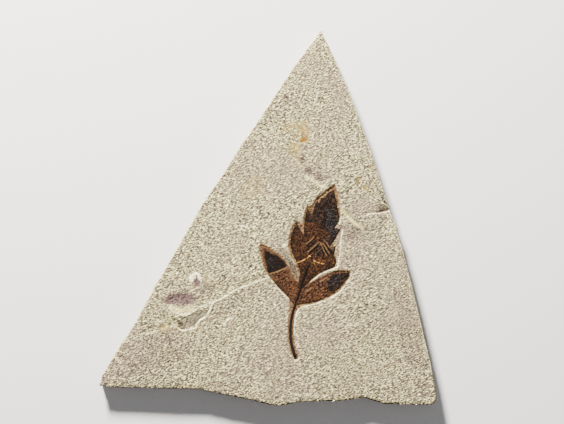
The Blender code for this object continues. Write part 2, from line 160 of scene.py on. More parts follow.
def softened(loop, step, reach):
    """A closed loop with rounded corners: each even point becomes a weighted mean of those within reach."""
    even = evenly(loop, step, closed=True)
    half = max(1, round(reach / step))
    weights = np.hanning(2 * half + 3)[1:-1]
    weights /= weights.sum()
    moved = [np.roll(even, shift, axis=0) for shift in range(-half, half + 1)]
    return sum(weight * points for weight, points in zip(weights, moved))


def left_of(loop):
    """Unit vectors to the left of a closed loop: the way from neighbour to neighbour, turned."""
    along = np.roll(loop, -1, axis=0) - np.roll(loop, 1, axis=0)
    normal = np.column_stack([-along[:, 1], along[:, 0]])
    return normal / np.linalg.norm(normal, axis=1)[:, None]


class Beside:
    """Where places lie beside a line: how far away and along it (mm), on which side, and the nearest point.

    For each segment the place is dropped square onto it and kept between its ends; the shortest drop wins.
    Places further off than the limit keep the limit as their distance.
    """

    def __init__(self, x, y, line, limit, closed=False):
        line = np.asarray(line, float)
        if closed:
            line = np.vstack([line, line[:1]])
        run = np.concatenate([[0.0], np.cumsum(np.hypot(*np.diff(line, axis=0).T))])
        self.length = run[-1]
        self.away = np.full(x.shape, float(limit))
        self.run = np.zeros(x.shape)
        self.side = np.ones(x.shape)
        self.x, self.y = x.copy(), y.copy()
        for first in range(0, len(line) - 1, SEGMENTS_AT_ONCE):
            part = line[first : first + SEGMENTS_AT_ONCE + 1]
            low, high = part.min(axis=0) - limit, part.max(axis=0) + limit
            near = np.flatnonzero((x > low[0]) & (x < high[0]) & (y > low[1]) & (y < high[1]))
            self._measure(x, y, near, part, run[first:])

    def _measure(self, x, y, near, part, run):
        """Compares the places near a few segments with what was found so far."""
        start, along = part[:-1], np.diff(part, axis=0)
        length = np.hypot(*along.T)
        dx, dy = x[near][:, None] - start[:, 0], y[near][:, None] - start[:, 1]
        share = np.clip((dx * along[:, 0] + dy * along[:, 1]) / length**2, 0.0, 1.0)
        away = np.hypot(dx - share * along[:, 0], dy - share * along[:, 1])
        best = away.argmin(axis=1)
        row = np.arange(len(near))
        closer = away[row, best] < self.away[near]
        row, best, kept = row[closer], best[closer], near[closer]
        share = share[row, best]
        self.away[kept] = away[row, best]
        self.run[kept] = run[best] + share * length[best]
        self.x[kept] = start[best, 0] + share * along[best, 0]
        self.y[kept] = start[best, 1] + share * along[best, 1]
        self.side[kept] = np.sign(along[best, 0] * dy[row, best] - along[best, 1] * dx[row, best])


def inside(x, y, loop):
    """Whether places lie inside a loop: they do if a ray to the right crosses an odd number of its sides."""
    loop = np.asarray(loop, float)
    ends = np.roll(loop, -1, axis=0)
    crossings = np.zeros(x.shape, int)
    for first in range(0, len(loop), SEGMENTS_AT_ONCE):
        ax, ay = loop[first : first + SEGMENTS_AT_ONCE].T
        bx, by = ends[first : first + SEGMENTS_AT_ONCE].T
        rise = np.where(by == ay, 1.0, by - ay)
        spans = (ay > y[:, None]) != (by > y[:, None])
        crossings += (spans & (x[:, None] < ax + (y[:, None] - ay) * (bx - ax) / rise)).sum(axis=1)
    return crossings % 2 == 1


def ramp(value, low, high):
    """0 below low, 1 above high, and 3t^2 - 2t^3 between them."""
    share = np.clip((value - low) / (high - low), 0.0, 1.0)
    return share * share * (3.0 - 2.0 * share)


def bell(value, width):
    """1 at zero, falling away as exp(-(value / width)^2)."""
    return np.exp(-((value / width) ** 2))


rim_length = Beside(np.zeros(1), np.zeros(1), RECESS_RIM, 99.0, closed=True).length
print("rim of the recess", round(rim_length), "mm")

# %% [markdown]
# Stone is uneven at every scale, so its height needs noise: a random slope at each whole number, blended
# smoothly between them. Stretched one way it gives the stone's streaky, pebbled skin.

# %% Noise
GRAIN_TURN = math.radians(25.0)


def noise(x, y, seed):
    """Gradient noise from about -0.7 to 0.7: slopes at whole numbers, blended by 6t^5 - 15t^4 + 10t^3."""
    column, row = np.floor(x).astype(np.int64), np.floor(y).astype(np.int64)
    dx, dy = x - column, y - row

    def pull(right, up):
        mixed = ((column + right) * 374761393 + (row + up) * 668265263 + seed * 144665) & 0x7FFFFFFF
        mixed = ((mixed ^ (mixed >> 13)) * 1274126177) & 0x7FFFFFFF
        mixed = mixed ^ (mixed >> 16)
        angle = (mixed & 0xFFFF) / 0xFFFF * math.tau
        return np.cos(angle) * (dx - right) + np.sin(angle) * (dy - up)

    fade_x = dx**3 * (dx * (dx * 6.0 - 15.0) + 10.0)
    fade_y = dy**3 * (dy * (dy * 6.0 - 15.0) + 10.0)
    lower = pull(0, 0) + fade_x * (pull(1, 0) - pull(0, 0))
    upper = pull(0, 1) + fade_x * (pull(1, 1) - pull(0, 1))
    return lower + fade_y * (upper - lower)


def clouds(x, y, size, seed):
    """Noise in three layers, each half the size and half the strength of the one before."""
    return sum(noise(x / size * 2**k, y / size * 2**k, seed + k) / 2**k for k in range(3))


def grain(x, y):
    """The pebbled skin, from about -1 to 1: long grains along one direction, wavering, with sharp crests."""
    x, y = x + 1.1 * noise(x / 5.0, y / 5.0, 3), y + 1.1 * noise(x / 5.0, y / 5.0, 4)
    along = x * math.cos(GRAIN_TURN) + y * math.sin(GRAIN_TURN)
    across = y * math.cos(GRAIN_TURN) - x * math.sin(GRAIN_TURN)
    pebbles = noise(along / 2.3, across / 1.35, 11)
    crests = 0.36 - np.abs(noise(along / 2.9, across / 1.5, 12)) * 1.6
    small = noise(along / 1.3, across / 0.95, 13)
    return 1.0 * pebbles + 0.55 * crests + 0.45 * small


# %% [markdown]
# The face is not flat. A thin layer has broken off, so a ledge crosses it from the leaf to the left edge;
# there are two small mounds, an oval pit, a groove that crosses behind the leaf's tip, and chips at the
# right edge. Each is a line or an oval with a simple profile, and the face's height is their sum.

# %% Relief of the face
# Each swelling: middle, half width, half length, turn in degrees, height
SWELLINGS = (
    ((-43.4, -36.6), 3.3, 4.1, 0.0, 0.5),
    ((-23.2, -63.2), 3.1, 3.2, 0.0, 0.45),
    ((-52.6, -51.0), 5.6, 10.4, -88.0, -0.85),
    ((-56.4, -63.0), 2.6, 4.4, -50.0, -0.65),
    ((-13.2, -0.9), 3.2, 5.0, 60.0, -0.4),
    ((-0.6, -92.7), 1.6, 4.4, -55.0, 0.4),
    ((70.2, -89.7), 3.0, 2.2, 0.0, 0.3),
    ((64.2, -100.5), 3.0, 2.2, 0.0, 0.3),
    ((21.6, 33.6), 1.7, 3.4, 50.0, -0.7),
    ((27.6, 27.6), 2.4, 4.6, 40.0, -0.55),
    ((58.8, -8.4), 5.0, 12.0, -82.0, -0.35),
)
# Each ledge: line, drop on its right-hand side, how far off the ground is level again
LEAF_TO_LEFT_LEDGE = (
    (-0.3, -36.1), (-5.1, -38.0), (-8.9, -39.3), (-13.2, -41.2), (-16.4, -41.8), (-18.6, -43.6),
    (-21.7, -44.7), (-23.4, -46.3), (-27.6, -48.4), (-33.0, -51.1), (-34.1, -53.7), (-35.6, -57.0),
    (-37.8, -59.7), (-41.0, -61.8), (-42.9, -64.0), (-43.2, -66.3), (-47.4, -67.2), (-50.6, -68.0),
    (-52.8, -67.2), (-55.0, -65.6), (-57.1, -64.5), (-59.8, -65.6), (-64.0, -67.7), (-70.8, -69.9),
    (-79.0, -70.0),
)
PIT_LIP = (
    (-29.0, -49.0), (-33.0, -50.6), (-38.4, -53.1), (-42.1, -54.3), (-45.3, -56.5), (-48.6, -58.3),
    (-52.8, -58.1), (-57.1, -56.5), (-59.8, -52.7), (-63.0, -51.4),
)
CHIP_EDGE_HIGH = ((75.6, 6.0), (72.8, 7.0), (69.4, 8.4), (66.4, 9.7), (60.4, 12.5))
CHIP_EDGE_LOW = ((76.2, 5.0), (72.4, 3.8), (66.9, 2.4), (61.4, 2.2), (56.8, 0.1))
LEDGES = (
    (LEAF_TO_LEFT_LEDGE, 0.85, 11.0),
    (PIT_LIP, 0.5, 4.0),
    (CHIP_EDGE_HIGH, 0.6, 1.8),
    (CHIP_EDGE_LOW, 0.85, 2.2),
)
# Each groove: line, rise, half width
GROOVES = (
    (((13.8, 37.2), (18.6, 30.0), (23.4, 26.4), (29.4, 21.6), (34.8, 17.4)), -0.6, 1.5),
    (((43.2, 5.0), (46.8, 1.8), (50.4, -1.8), (54.0, -4.8), (60.0, -7.2)), -0.7, 1.5),
    (((-10.6, 51.6), (-7.2, 48.9), (-3.6, 43.8)), -0.55, 0.42),
)
# Two arches crown the mounds, four ridges fan out beside the first, and a scratch lies near the tall corner
UPPER_ARCH = ((-45.8, -39.8), (-46.4, -35.6), (-43.9, -33.4), (-41.6, -34.3), (-40.2, -38.6))
LOWER_ARCH = ((-25.6, -64.2), (-24.9, -61.8), (-22.4, -60.4), (-20.9, -61.4))
FAN = (
    ((-39.6, -34.2), (-36.0, -36.0), (-31.2, -38.4)),
    ((-40.2, -36.4), (-36.6, -38.6), (-31.8, -41.2)),
    ((-39.0, -32.4), (-35.0, -33.6), (-30.6, -35.4)),
    ((-39.4, -38.8), (-37.4, -41.4), (-34.2, -44.4)),
)
SCRATCH = ((30.4, 76.4), (29.0, 72.0), (27.4, 68.4))
# Each rib: line, rise, half width
RIBS = (
    (UPPER_ARCH, 0.62, 0.75),
    (LOWER_ARCH, 0.5, 0.7),
    (FAN[0], 0.42, 0.55),
    (FAN[1], 0.42, 0.55),
    (FAN[2], 0.32, 0.55),
    (FAN[3], 0.32, 0.55),
    (SCRATCH, 0.26, 0.55),
    (((15.0, 32.6), (21.6, 25.4), (29.4, 18.6)), 0.3, 0.9),
    (((45.6, 0.6), (49.2, -3.2), (52.8, -6.0)), 0.34, 0.9),
)


def swelling(x, y, middle, half_width, half_length, turn, height):
    """An oval mound, or a pit if its height is negative: height x (1 - r^4)^2 inside r = 1."""
    turn = math.radians(turn)
    dx, dy = x - middle[0], y - middle[1]
    across = (dx * math.cos(turn) + dy * math.sin(turn)) / half_width
    along = (dy * math.cos(turn) - dx * math.sin(turn)) / half_length
    return height * np.clip(1.0 - (across**2 + along**2) ** 2, 0.0, 1.0) ** 2


def faded(near, share):
    """1 along most of a line, falling to 0 over a share of its length at each end."""
    along = near.run / near.length
    return np.clip(np.minimum(along, 1.0 - along) / share, 0.0, 1.0)


def ledge(x, y, line, drop, reach):
    """A sharp drop on a line's right, which dies away over the reach, and a slight swelling on its left."""
    near = Beside(x, y, evenly(line, 0.8), 4.0 * reach)
    signed = near.away * near.side + 0.35 * noise(x / 1.9, y / 1.9, 21)
    low = ramp(-signed, -0.1, 0.5) * np.exp(-np.clip(-signed, 0.0, None) / reach)
    lip = 0.18 * bell(signed - 0.5, 0.8)
    return faded(near, 0.07) * (near.away < 4.0 * reach) * drop * (lip - low)


def stroke(x, y, line, width, fade, step=0.8, reach=4.0, aside=0.0):
    """1 along a line, or at a distance aside from it: exp(-(distance / width)^2), fading at its ends."""
    limit = aside + reach * width
    near = Beside(x, y, evenly(line, step), limit)
    return bell(near.away - aside, width) * (near.away < limit) * faded(near, fade)


def undulation(x, y):
    """The gentle unevenness of a split face: three slow waves and some clouds."""
    slow = np.sin(0.052 * x + 0.031 * y) + np.sin(0.083 * y - 0.044 * x + 1.9) + np.sin(0.117 * x + 2.4)
    return 0.12 * slow + 0.16 * clouds(x, y, 9.0, 5)


def relief(x, y):
    """Height of the face over its mean level, without the grain."""
    height = undulation(x, y)
    for mound in SWELLINGS:
        height += swelling(x, y, *mound)
    for line, drop, reach in LEDGES:
        height += ledge(x, y, line, drop, reach)
    for line, rise, half_width in GROOVES + RIBS:
        height += rise * stroke(x, y, line, half_width, 0.25, reach=5.0)
    return height


print("relief at the upper mound", np.round(relief(np.array([-43.8]), np.array([-35.7])), 2), "mm")

# %% [markdown]
# The face needs small triangles where the leaf is and larger ones elsewhere, so its grid is drawn with two
# rulers whose marks lie closer together over the leaf. A corner less than half a mark from an outline is
# drawn onto it: that gives the plate and the hollow clean edges without cutting any triangle.

# %% A mat of triangles cut to an outline
ROW_STEP = math.sqrt(3.0) / 2.0
RULER_BLEND = 6.0


class Ruler:
    """Marks along one axis, a spacing apart, which shrinks to a finer one over each of some stretches."""

    def __init__(self, low, high, spacing, stretches=()):
        self.places = np.linspace(low, high, 4001)
        apart = np.full(len(self.places), float(spacing))
        for start, end, fine in stretches:
            rising = ramp(self.places, start - RULER_BLEND, start)
            falling = ramp(-self.places, -end - RULER_BLEND, -end)
            apart = np.minimum(apart, spacing + (fine - spacing) * (rising * falling))
        steps = (1.0 / apart[1:] + 1.0 / apart[:-1]) / 2.0 * np.diff(self.places)
        self.marks = np.concatenate([[0.0], np.cumsum(steps)])

    def mark(self, place):
        """The mark at a place."""
        return np.interp(place, self.places, self.marks)

    def place(self, mark):
        """The place of a mark."""
        return np.interp(mark, self.marks, self.places)


class Mat:
    """Near-equal triangles over the inside of a loop: x, y, faces, and the edges along its rim.

    Row j, column i stands at mark (i + half of (j mod 2), j x root 3 / 2). Corners within half a mark of the
    loop or of an inner line move onto it. Faces whose corners all lie on the loop count only if inside it.
    """

    def __init__(self, loop, ruler_x, ruler_y, inner_lines=()):
        lines = (loop, *inner_lines)
        marked = [np.column_stack([ruler_x.mark(line[:, 0]), ruler_y.mark(line[:, 1])]) for line in lines]
        rows = int(marked[0][:, 1].max() / ROW_STEP) + 3
        columns = int(marked[0][:, 0].max()) + 3
        row, column = np.mgrid[0:rows, 0:columns]
        u = (column + 0.5 * (row % 2)).ravel()
        v = (row * ROW_STEP).ravel()
        hits = [Beside(u, v, line, 0.5, closed=True) for line in marked]
        nearest = np.argmin([hit.away for hit in hits], axis=0)
        drawn = np.min([hit.away for hit in hits], axis=0) < 0.5
        on_loop = drawn & (nearest == 0)
        keep = inside(u, v, marked[0]) | on_loop
        for number, hit in enumerate(hits):
            move = drawn & (nearest == number)
            u[move], v[move] = hit.x[move], hit.y[move]

        here = (row * columns + column)[:-1, :-1]
        odd = (row % 2 == 1)[:-1, :-1]
        right, up, far = here + 1, here + columns, here + columns + 1
        even_pair = np.stack([np.stack([here, right, up], -1), np.stack([right, far, up], -1)])
        odd_pair = np.stack([np.stack([here, far, up], -1), np.stack([here, right, far], -1)])
        faces = np.where(odd[None, :, :, None], odd_pair, even_pair).reshape(-1, 3)
        faces = faces[keep[faces].all(axis=1)]
        on_edge = on_loop[faces].all(axis=1)
        middle_u, middle_v = u[faces[on_edge]].mean(axis=1), v[faces[on_edge]].mean(axis=1)
        sound = np.ones(len(faces), bool)
        sound[on_edge] = inside(middle_u, middle_v, marked[0])
        faces = faces[sound]

        used, faces = np.unique(faces, return_inverse=True)
        self.faces = faces.reshape(-1, 3)
        self.x, self.y = ruler_x.place(u[used]), ruler_y.place(v[used])
        self.rim = self._open_edges()

    def _open_edges(self):
        """The edges that only one face has, each running the way that face turns."""
        sides = np.concatenate([self.faces[:, [0, 1]], self.faces[:, [1, 2]], self.faces[:, [2, 0]]])
        names = sides.min(axis=1) * len(self.x) + sides.max(axis=1)
        _, place, count = np.unique(names, return_index=True, return_counts=True)
        return sides[place[count == 1]]


def add_mesh(name, corners, faces):
    """A mesh object at the origin from corners in millimetres and lists of faces."""
    mesh = bpy.data.meshes.new(name)
    sizes = np.concatenate([np.full(len(part), part.shape[1]) for part in faces])
    loops = np.concatenate([part.ravel() for part in faces])
    mesh.vertices.add(len(corners))
    mesh.vertices.foreach_set("co", (corners * METRES_PER_MM).astype(np.float32).ravel())
    mesh.loops.add(len(loops))
    mesh.loops.foreach_set("vertex_index", loops.astype(np.int32))
    mesh.polygons.add(len(sizes))
    mesh.polygons.foreach_set("loop_start", (np.cumsum(sizes) - sizes).astype(np.int32))
    mesh.update(calc_edges=True)
    mesh.validate()
    mesh.shade_smooth()
    piece = bpy.data.objects.new(name, mesh)
    bpy.context.collection.objects.link(piece)
    return piece


def paint(piece, **fields):
    """Numbers for each corner of a mesh, which a material reads by their names."""
    for name, values in fields.items():
        field = piece.data.attributes.new(name, "FLOAT", "POINT")
        field.data.foreach_set("value", np.clip(values, 0.0, 1.0).astype(np.float32))


# Each finer stretch of a ruler: from, to, spacing
FINE_ACROSS = ((-104.0, -99.0, 0.6), (-64.0, -22.0, 0.62), (-6.0, 50.0, 0.54), (97.0, 104.0, 0.6))
FINE_UP = ((-86.0, -29.0, 0.54), (-29.0, 19.0, 0.56), (107.0, 116.0, 0.4))
FACE_RULERS = (Ruler(-104.0, 104.0, 1.0, FINE_ACROSS), Ruler(-116.0, 116.0, 1.0, FINE_UP))
print("marks across and up", [round(ruler.marks[-1]) for ruler in FACE_RULERS])

# %% [markdown]
# The plate's outline was made by breaking, so it is given small chips. The hollow's rim follows the leaf and
# is smooth. The foot of the hollow's wall is the same loop drawn inwards.

# %% Loops of the plate and the hollow
def chipped(loop, depth, size, seed):
    """A loop pushed inwards by a depth that comes and goes as noise does along it."""
    run = np.arange(len(loop)) * np.hypot(*(loop[1] - loop[0]))
    bite = depth * np.clip(noise(run / size, np.zeros(len(loop)), seed) + 0.25, 0.0, None)
    fine = 0.35 * depth * noise(run / size * 4.1, np.zeros(len(loop)), seed + 1)
    return loop + left_of(loop) * (bite + np.clip(fine, 0.0, None))[:, None]


plate_loop = chipped(softened(PLATE_OUTLINE, 0.4, 0.4), 0.14, 6.0, 31)
rim_loop = softened(RECESS_RIM, 0.25, 1.1)
waver = noise(np.arange(len(rim_loop)) / 11.0, np.zeros(len(rim_loop)), 33)
rim_loop = rim_loop + left_of(rim_loop) * 0.16 * waver[:, None]
foot_loop = rim_loop + left_of(rim_loop) * RECESS_WALL_LEAN
print("plate outline", len(plate_loop), "points, hollow", len(rim_loop), "points")

# %% [markdown]
# Below the face, the broken edge shows the stone's thin layers: some stand out, some are worn back. The edge
# goes down in rings, each set back by its height and its place along the edge, and the back is closed by
# rings that shrink to one point.

# %% The limestone plate
CAD_TOP = cad_box[1][2] / METRES_PER_MM
EDGE_RINGS = np.array([0.965, 0.91, 0.86, 0.83, 0.74, 0.64, 0.61, 0.5, 0.4, 0.36, 0.24, 0.12, 0.05, 0.0])
BACK_RINGS = np.array([0.97, 0.8, 0.6, 0.4, 0.2])
LEANING_EDGE = (-96.0, -36.0)
WORN_PIT = ((-52.4, -49.8), 4.6, 9.0, -86.0, 1.0)


def set_back(share, x, y):
    """How far the edge stands back at a share of the height: noisy layers, roughness and a worn foot."""
    run = x * 0.7 + y
    layers = 0.55 + 0.55 * noise(np.full(x.shape, share * 9.0), run / 26.0, 41)
    rough = 0.3 * noise(run / 2.1, np.full(x.shape, share * 31.0), 42)
    chamfer = 0.35 * (1.0 - ramp(share, 0.0, 0.14))
    return np.clip(layers + rough, 0.05, None) + chamfer


def face_height(x, y, skin):
    """Relief and grain, worn down at the edges, and inside the rim a wall that leans down to the floor."""
    from_edge, from_rim, from_foot = (
        Beside(x, y, loop, 6.0, closed=True).away for loop in (plate_loop, rim_loop, foot_loop)
    )
    sunk = inside(x, y, rim_loop) & (from_rim > 0.02)
    ground = PLATE_THICKNESS + relief(x, y) + 0.06 * (1.0 - 0.8 * swelling(x, y, *WORN_PIT)) * skin
    ground -= 0.5 * np.exp(-from_edge / 0.55) * ramp(6.0 - from_edge, 0.0, 1.0)
    ground -= 0.3 * bell(from_rim, 1.2)
    floor = RECESS_FLOOR + 0.05 * clouds(x, y, 2.0, 51)
    wall = ground + (floor - ground) * ramp(from_rim, 0.0, RECESS_WALL_LEAN)
    on_floor = inside(x, y, foot_loop) | (sunk & (from_foot < 0.02))
    return np.minimum(np.where(on_floor, floor, np.where(sunk, wall, ground)), CAD_TOP)


def edge_rings(plan, top):
    """Rings of corners down the broken edge and in over the back, and the middle that they shrink to."""
    edge = Beside(*plan.T, plate_loop, 6.0, closed=True)
    run = np.arange(len(plate_loop)) * edge.length / len(plate_loop)
    into = np.column_stack([np.interp(edge.run, run, left_of(plate_loop)[:, axis]) for axis in (0, 1)])
    start, end = LEANING_EDGE
    leaning = ramp(plan[:, 0], start - 4.0, start) * (plan[:, 1] < -95.0)
    leaning *= 1.0 - ramp(plan[:, 0], end, end + 8.0)
    rings = []
    for share in EDGE_RINGS:
        back = set_back(share, *plan.T) * (1.0 - leaning) - 0.75 * leaning * ramp(share, 0.15, 0.5)
        ring = plan + into * back[:, None]
        rings.append(np.column_stack([ring, np.minimum(share * PLATE_THICKNESS, top - 0.15)]))
    middle = ring.mean(axis=0)
    for share in BACK_RINGS:
        rings.append(np.column_stack([middle + (ring - middle) * share, np.zeros(len(ring))]))
    return rings, middle


def limestone_plate():
    """The closed stone: the lifted mat, a band of faces from ring to ring, and a fan to the middle."""
    mat = Mat(plate_loop, *FACE_RULERS, (rim_loop, foot_loop))
    skin = grain(mat.x, mat.y)
    top = np.column_stack([mat.x, mat.y, face_height(mat.x, mat.y, skin)])
    above, ends = np.unique(mat.rim, return_inverse=True)
    start, end = ends.reshape(-1, 2).T
    rings, middle = edge_rings(top[above, :2], top[above, 2])
    faces = [mat.faces]
    total = len(top)
    for ring in rings:
        below = total + np.arange(len(ring))
        faces.append(np.column_stack([above[start], below[start], below[end], above[end]]))
        above, total = below, total + len(ring)
    faces.append(np.column_stack([above[start], np.full(len(start), total), above[end]]))
    return add_mesh("limestone_plate", np.vstack([top, *rings, [[*middle, 0.0]]]), faces), skin


plate, plate_skin = limestone_plate()
triangles = sum(len(face.vertices) - 2 for face in plate.data.polygons)
print("limestone plate", len(plate.data.vertices), "corners,", triangles, "triangles")

# %% [markdown]
# The leaf stained the floor of the hollow brown. Iron seeped in and left ochre patches near the tall corner.
# Lit ledges, crests, chips and edges get painted highlights; the pit, grooves, troughs and the hollow's
# unlit wall get painted shade. Each of these is one number at each corner, which the material reads.

# %% Stains, wear, painted highlights and painted shade of the stone
# Each patch: middle, half width, half length, turn in degrees, strength
OCHRE_PATCHES = (
    ((21.2, 46.6), 1.5, 2.2, -60.0, 1.0),
    ((23.4, 45.8), 1.0, 1.6, -20.0, 0.75),
    ((16.6, 42.0), 2.4, 3.6, 35.0, 0.6),
    ((22.6, 51.4), 2.2, 4.6, 15.0, 0.6),
    ((20.4, 54.6), 1.8, 3.4, -30.0, 0.6),
    ((12.6, 54.0), 2.0, 4.4, -70.0, 0.45),
    ((20.0, 51.0), 4.6, 7.0, 0.0, 0.3),
    ((15.6, 38.6), 3.0, 6.0, 50.0, 0.28),
    ((-53.6, -66.0), 1.2, 2.6, -60.0, 0.5),
    ((-9.0, 18.0), 5.0, 8.0, -35.0, 0.22),
    ((58.5, 17.8), 1.4, 2.2, 60.0, 0.6),
    ((54.4, 22.0), 1.3, 1.8, 0.0, 0.35),
    ((62.0, 29.5), 1.4, 2.0, 30.0, 0.3),
    ((-62.0, -66.0), 2.2, 4.0, -70.0, 0.4),
    ((-42.6, -66.4), 1.0, 2.4, -60.0, 0.45),
)
# Painted mauve shade in the pit, dimple, grooves, under mounds and ledge; painted pink reflection at lower
# corners.
MAUVE_SHADE_PATCHES = (
    ((-52.8, -48.8), 3.6, 8.8, -90.0, 1.0),
    ((-42.6, -37.6), 2.0, 3.6, 0.0, 1.0),
    ((-21.6, -63.8), 1.4, 2.0, 0.0, 0.25),
    ((20.2, 34.0), 1.6, 2.4, 30.0, 0.6),
    ((24.6, 27.8), 1.8, 2.6, 40.0, 0.95),
    ((29.8, 25.0), 2.2, 4.4, 46.0, 0.62),
    ((-14.0, -0.6), 2.6, 4.4, 60.0, 0.45),
    ((-68.0, -84.0), 12.0, 22.0, -60.0, 0.3),
    ((-24.0, -52.0), 4.0, 11.0, -64.0, 0.35),
    ((-10.0, -44.0), 2.2, 8.0, -64.0, 0.35),
    ((47.0, -8.6), 5.0, 8.0, -70.0, 0.4),
    ((86.0, -74.0), 6.0, 26.0, 14.0, 0.3),
)
# Painted grey shade in the trough between ledges, the grooves, the chip's notch and between the leaflets.
GREY_SHADE_PATCHES = (
    ((-43.0, -60.2), 3.4, 7.4, -60.0, 0.95),
    ((-50.0, -63.4), 3.2, 4.4, -80.0, 0.85),
    ((32.4, 26.6), 2.6, 5.0, 25.0, 0.55),
    ((56.0, -9.4), 4.4, 12.0, -82.0, 0.5),
    ((68.5, 8.0), 1.5, 4.0, -62.0, 0.95),
    ((69.5, 4.4), 1.1, 4.2, -74.0, 0.9),
    ((-36.0, -42.4), 3.0, 6.0, -50.0, 0.4),
    ((15.2, -31.6), 2.6, 7.0, 24.0, 1.0),
    ((10.4, -23.0), 2.4, 5.0, 30.0, 0.8),
)
# Brown spots, and painted shade in the chip's notch and in the gaps between the leaflets.
DARK_PATCHES = (
    ((-53.4, -62.8), 0.9, 2.6, 40.0, 0.9),
    ((-56.6, -60.4), 0.8, 1.8, 60.0, 0.7),
    ((70.6, 9.4), 0.7, 2.4, -116.0, 0.9),
    ((69.4, 4.6), 0.8, 3.6, -72.0, 1.0),
    ((11.0, 71.0), 1.2, 2.4, 20.0, 0.35),
    ((15.4, -32.0), 1.4, 6.0, 24.0, 0.6),
    ((31.0, -34.8), 1.2, 4.6, -60.0, 0.3),
    ((61.0, 21.6), 1.2, 1.6, 0.0, 0.35),
    ((70.8, 24.6), 1.0, 1.8, 0.0, 0.45),
)
SMOOTH_PATCHES = (
    ((-52.8, -49.4), 4.4, 9.4, -90.0, 1.0),
    ((-43.4, -36.4), 3.4, 4.2, 0.0, 1.0),
    ((-23.2, -63.0), 3.0, 3.0, 0.0, 0.8),
    ((-36.4, -38.6), 3.6, 6.4, -64.0, 0.6),
    ((-43.0, -60.2), 3.4, 8.0, -60.0, 0.8),
    ((19.0, 92.7), 3.2, 15.0, -33.0, 0.7),
    ((28.0, 103.0), 3.2, 8.0, 0.0, 0.5),
    ((50.0, -10.0), 4.0, 8.0, -75.0, 0.6),
)
# Each cream line of painted highlight on a lit groove wall, the pit's lower rim, a rim or a rib: line,
# width, strength
CREAM_HIGHLIGHT_LINES = (
    (((15.6, 35.6), (18.6, 32.0), (21.8, 29.0)), 0.55, 0.8),
    (((21.6, 25.4), (24.6, 23.6), (28.2, 21.2), (32.2, 18.6), (36.4, 17.8)), 0.8, 1.0),
    (((43.2, 6.4), (46.9, 1.9), (50.0, -1.6), (52.6, -4.0), (57.6, -5.8)), 1.0, 1.0),
    (((-60.0, -53.4), (-55.0, -55.6), (-49.0, -56.6), (-43.0, -54.2)), 1.6, 0.8),
    (((-56.0, -58.0), (-54.4, -61.0)), 0.9, 0.6),
    (((11.0, -13.6), (12.0, -19.0), (13.6, -22.8), (15.8, -26.6)), 0.45, 0.9),
    (FAN[0], 0.35, 0.6),
    (FAN[1], 0.35, 0.6),
    (FAN[2], 0.35, 0.4),
)
# Each line of painted shade beside the fan's ribs and below the pit's lip, and one brown streak: line,
# width, strength
SHADE_LINES = (
    (((-40.6, -36.6), (-37.0, -37.4), (-32.8, -39.2)), 0.34, 0.5),
    (((-40.0, -38.4), (-36.0, -39.6), (-31.2, -41.4)), 0.36, 0.6),
    (((-39.6, -40.0), (-36.8, -41.0), (-33.6, -43.0)), 0.34, 0.45),
    (((-32.0, -52.6), (-36.0, -54.6), (-41.0, -56.2), (-45.0, -58.6)), 0.42, 0.45),
    (((-57.0, -59.4), (-54.4, -61.6), (-52.2, -63.4), (-50.4, -65.2)), 0.6, 0.95),
)
# Each line of painted highlight on a lit ledge, chip, scratch, mound or rim: line, width
HIGHLIGHT_LINES = (
    (LEAF_TO_LEFT_LEDGE[:-3], 0.33),
    (PIT_LIP, 0.27),
    (CHIP_EDGE_LOW, 0.24),
    (CHIP_EDGE_HIGH, 0.2),
    (SCRATCH, 0.4),
    (((-16.8, -4.4), (-10.8, -6.6)), 0.4),
    (UPPER_ARCH, 0.6),
    (((-46.4, -38.2), (-45.6, -35.2), (-43.9, -33.8)), 1.4),
    (((9.8, -15.6), (10.4, -18.4)), 0.8),
    (((17.6, -26.8), (18.4, -31.0), (18.2, -36.4)), 0.26),
    (((-45.4, -39.6), (-45.0, -37.6), (-43.6, -36.6)), 0.34),
    (LOWER_ARCH, 0.62),
    (((-26.2, -65.6), (-25.2, -62.8)), 0.75),
)


def patches(x, y, marks):
    """The strongest of several oval marks at each place, their borders frayed by clouds."""
    frayed = 0.55 * clouds(x, y, 4.0, 61)
    found = np.zeros(x.shape)
    for middle, half_width, half_length, turn, strength in marks:
        oval = swelling(x, y, middle, 1.4 * half_width, 1.4 * half_length, turn, 1.0)
        found = np.maximum(found, strength * ramp(oval + frayed * (oval > 0.0), 0.08, 0.75))
    return found


def lines_of(x, y, marks):
    """The strongest of several lines: strength x exp(-(distance / width)^2), broken by noise."""
    found = np.zeros(x.shape)
    for line, width, strength in marks:
        found = np.maximum(found, strength * stroke(x, y, line, width, 0.08))
    return found * (0.75 + 0.5 * noise(x / 3.0, y / 3.0, 63))


def nearness(x, y, marks):
    """1 on any of several lines and 0 at four widths from it, straight between; widths taper to the ends."""
    found = np.zeros(x.shape)
    for line, width in marks:
        near = Beside(x, y, evenly(line, 0.8), 4.0 * width)
        found = np.maximum(found, 1.0 - near.away / (4.0 * width * (0.3 + 0.7 * faded(near, 0.12))))
    return found


def near_leaf(x, y):
    """Whether the stone is close enough to the film to be stained, which the middle of a wide gap isn't."""
    away = [Beside(x, y, line, 3.2, closed=closed).away for line, closed in LEAF_LINES]
    within = [inside(x, y, line) for line, closed in LEAF_LINES if closed]
    return (np.min(away, axis=0) < 2.6) | np.any(within, axis=0)


LEAF_LINES = ((END_OUTLINE, True), (LEFT_OUTLINE, True), (RIGHT_OUTLINE, True), (STALK_LINE, False))
LIT_SIDE = np.array([-0.32, 0.95])


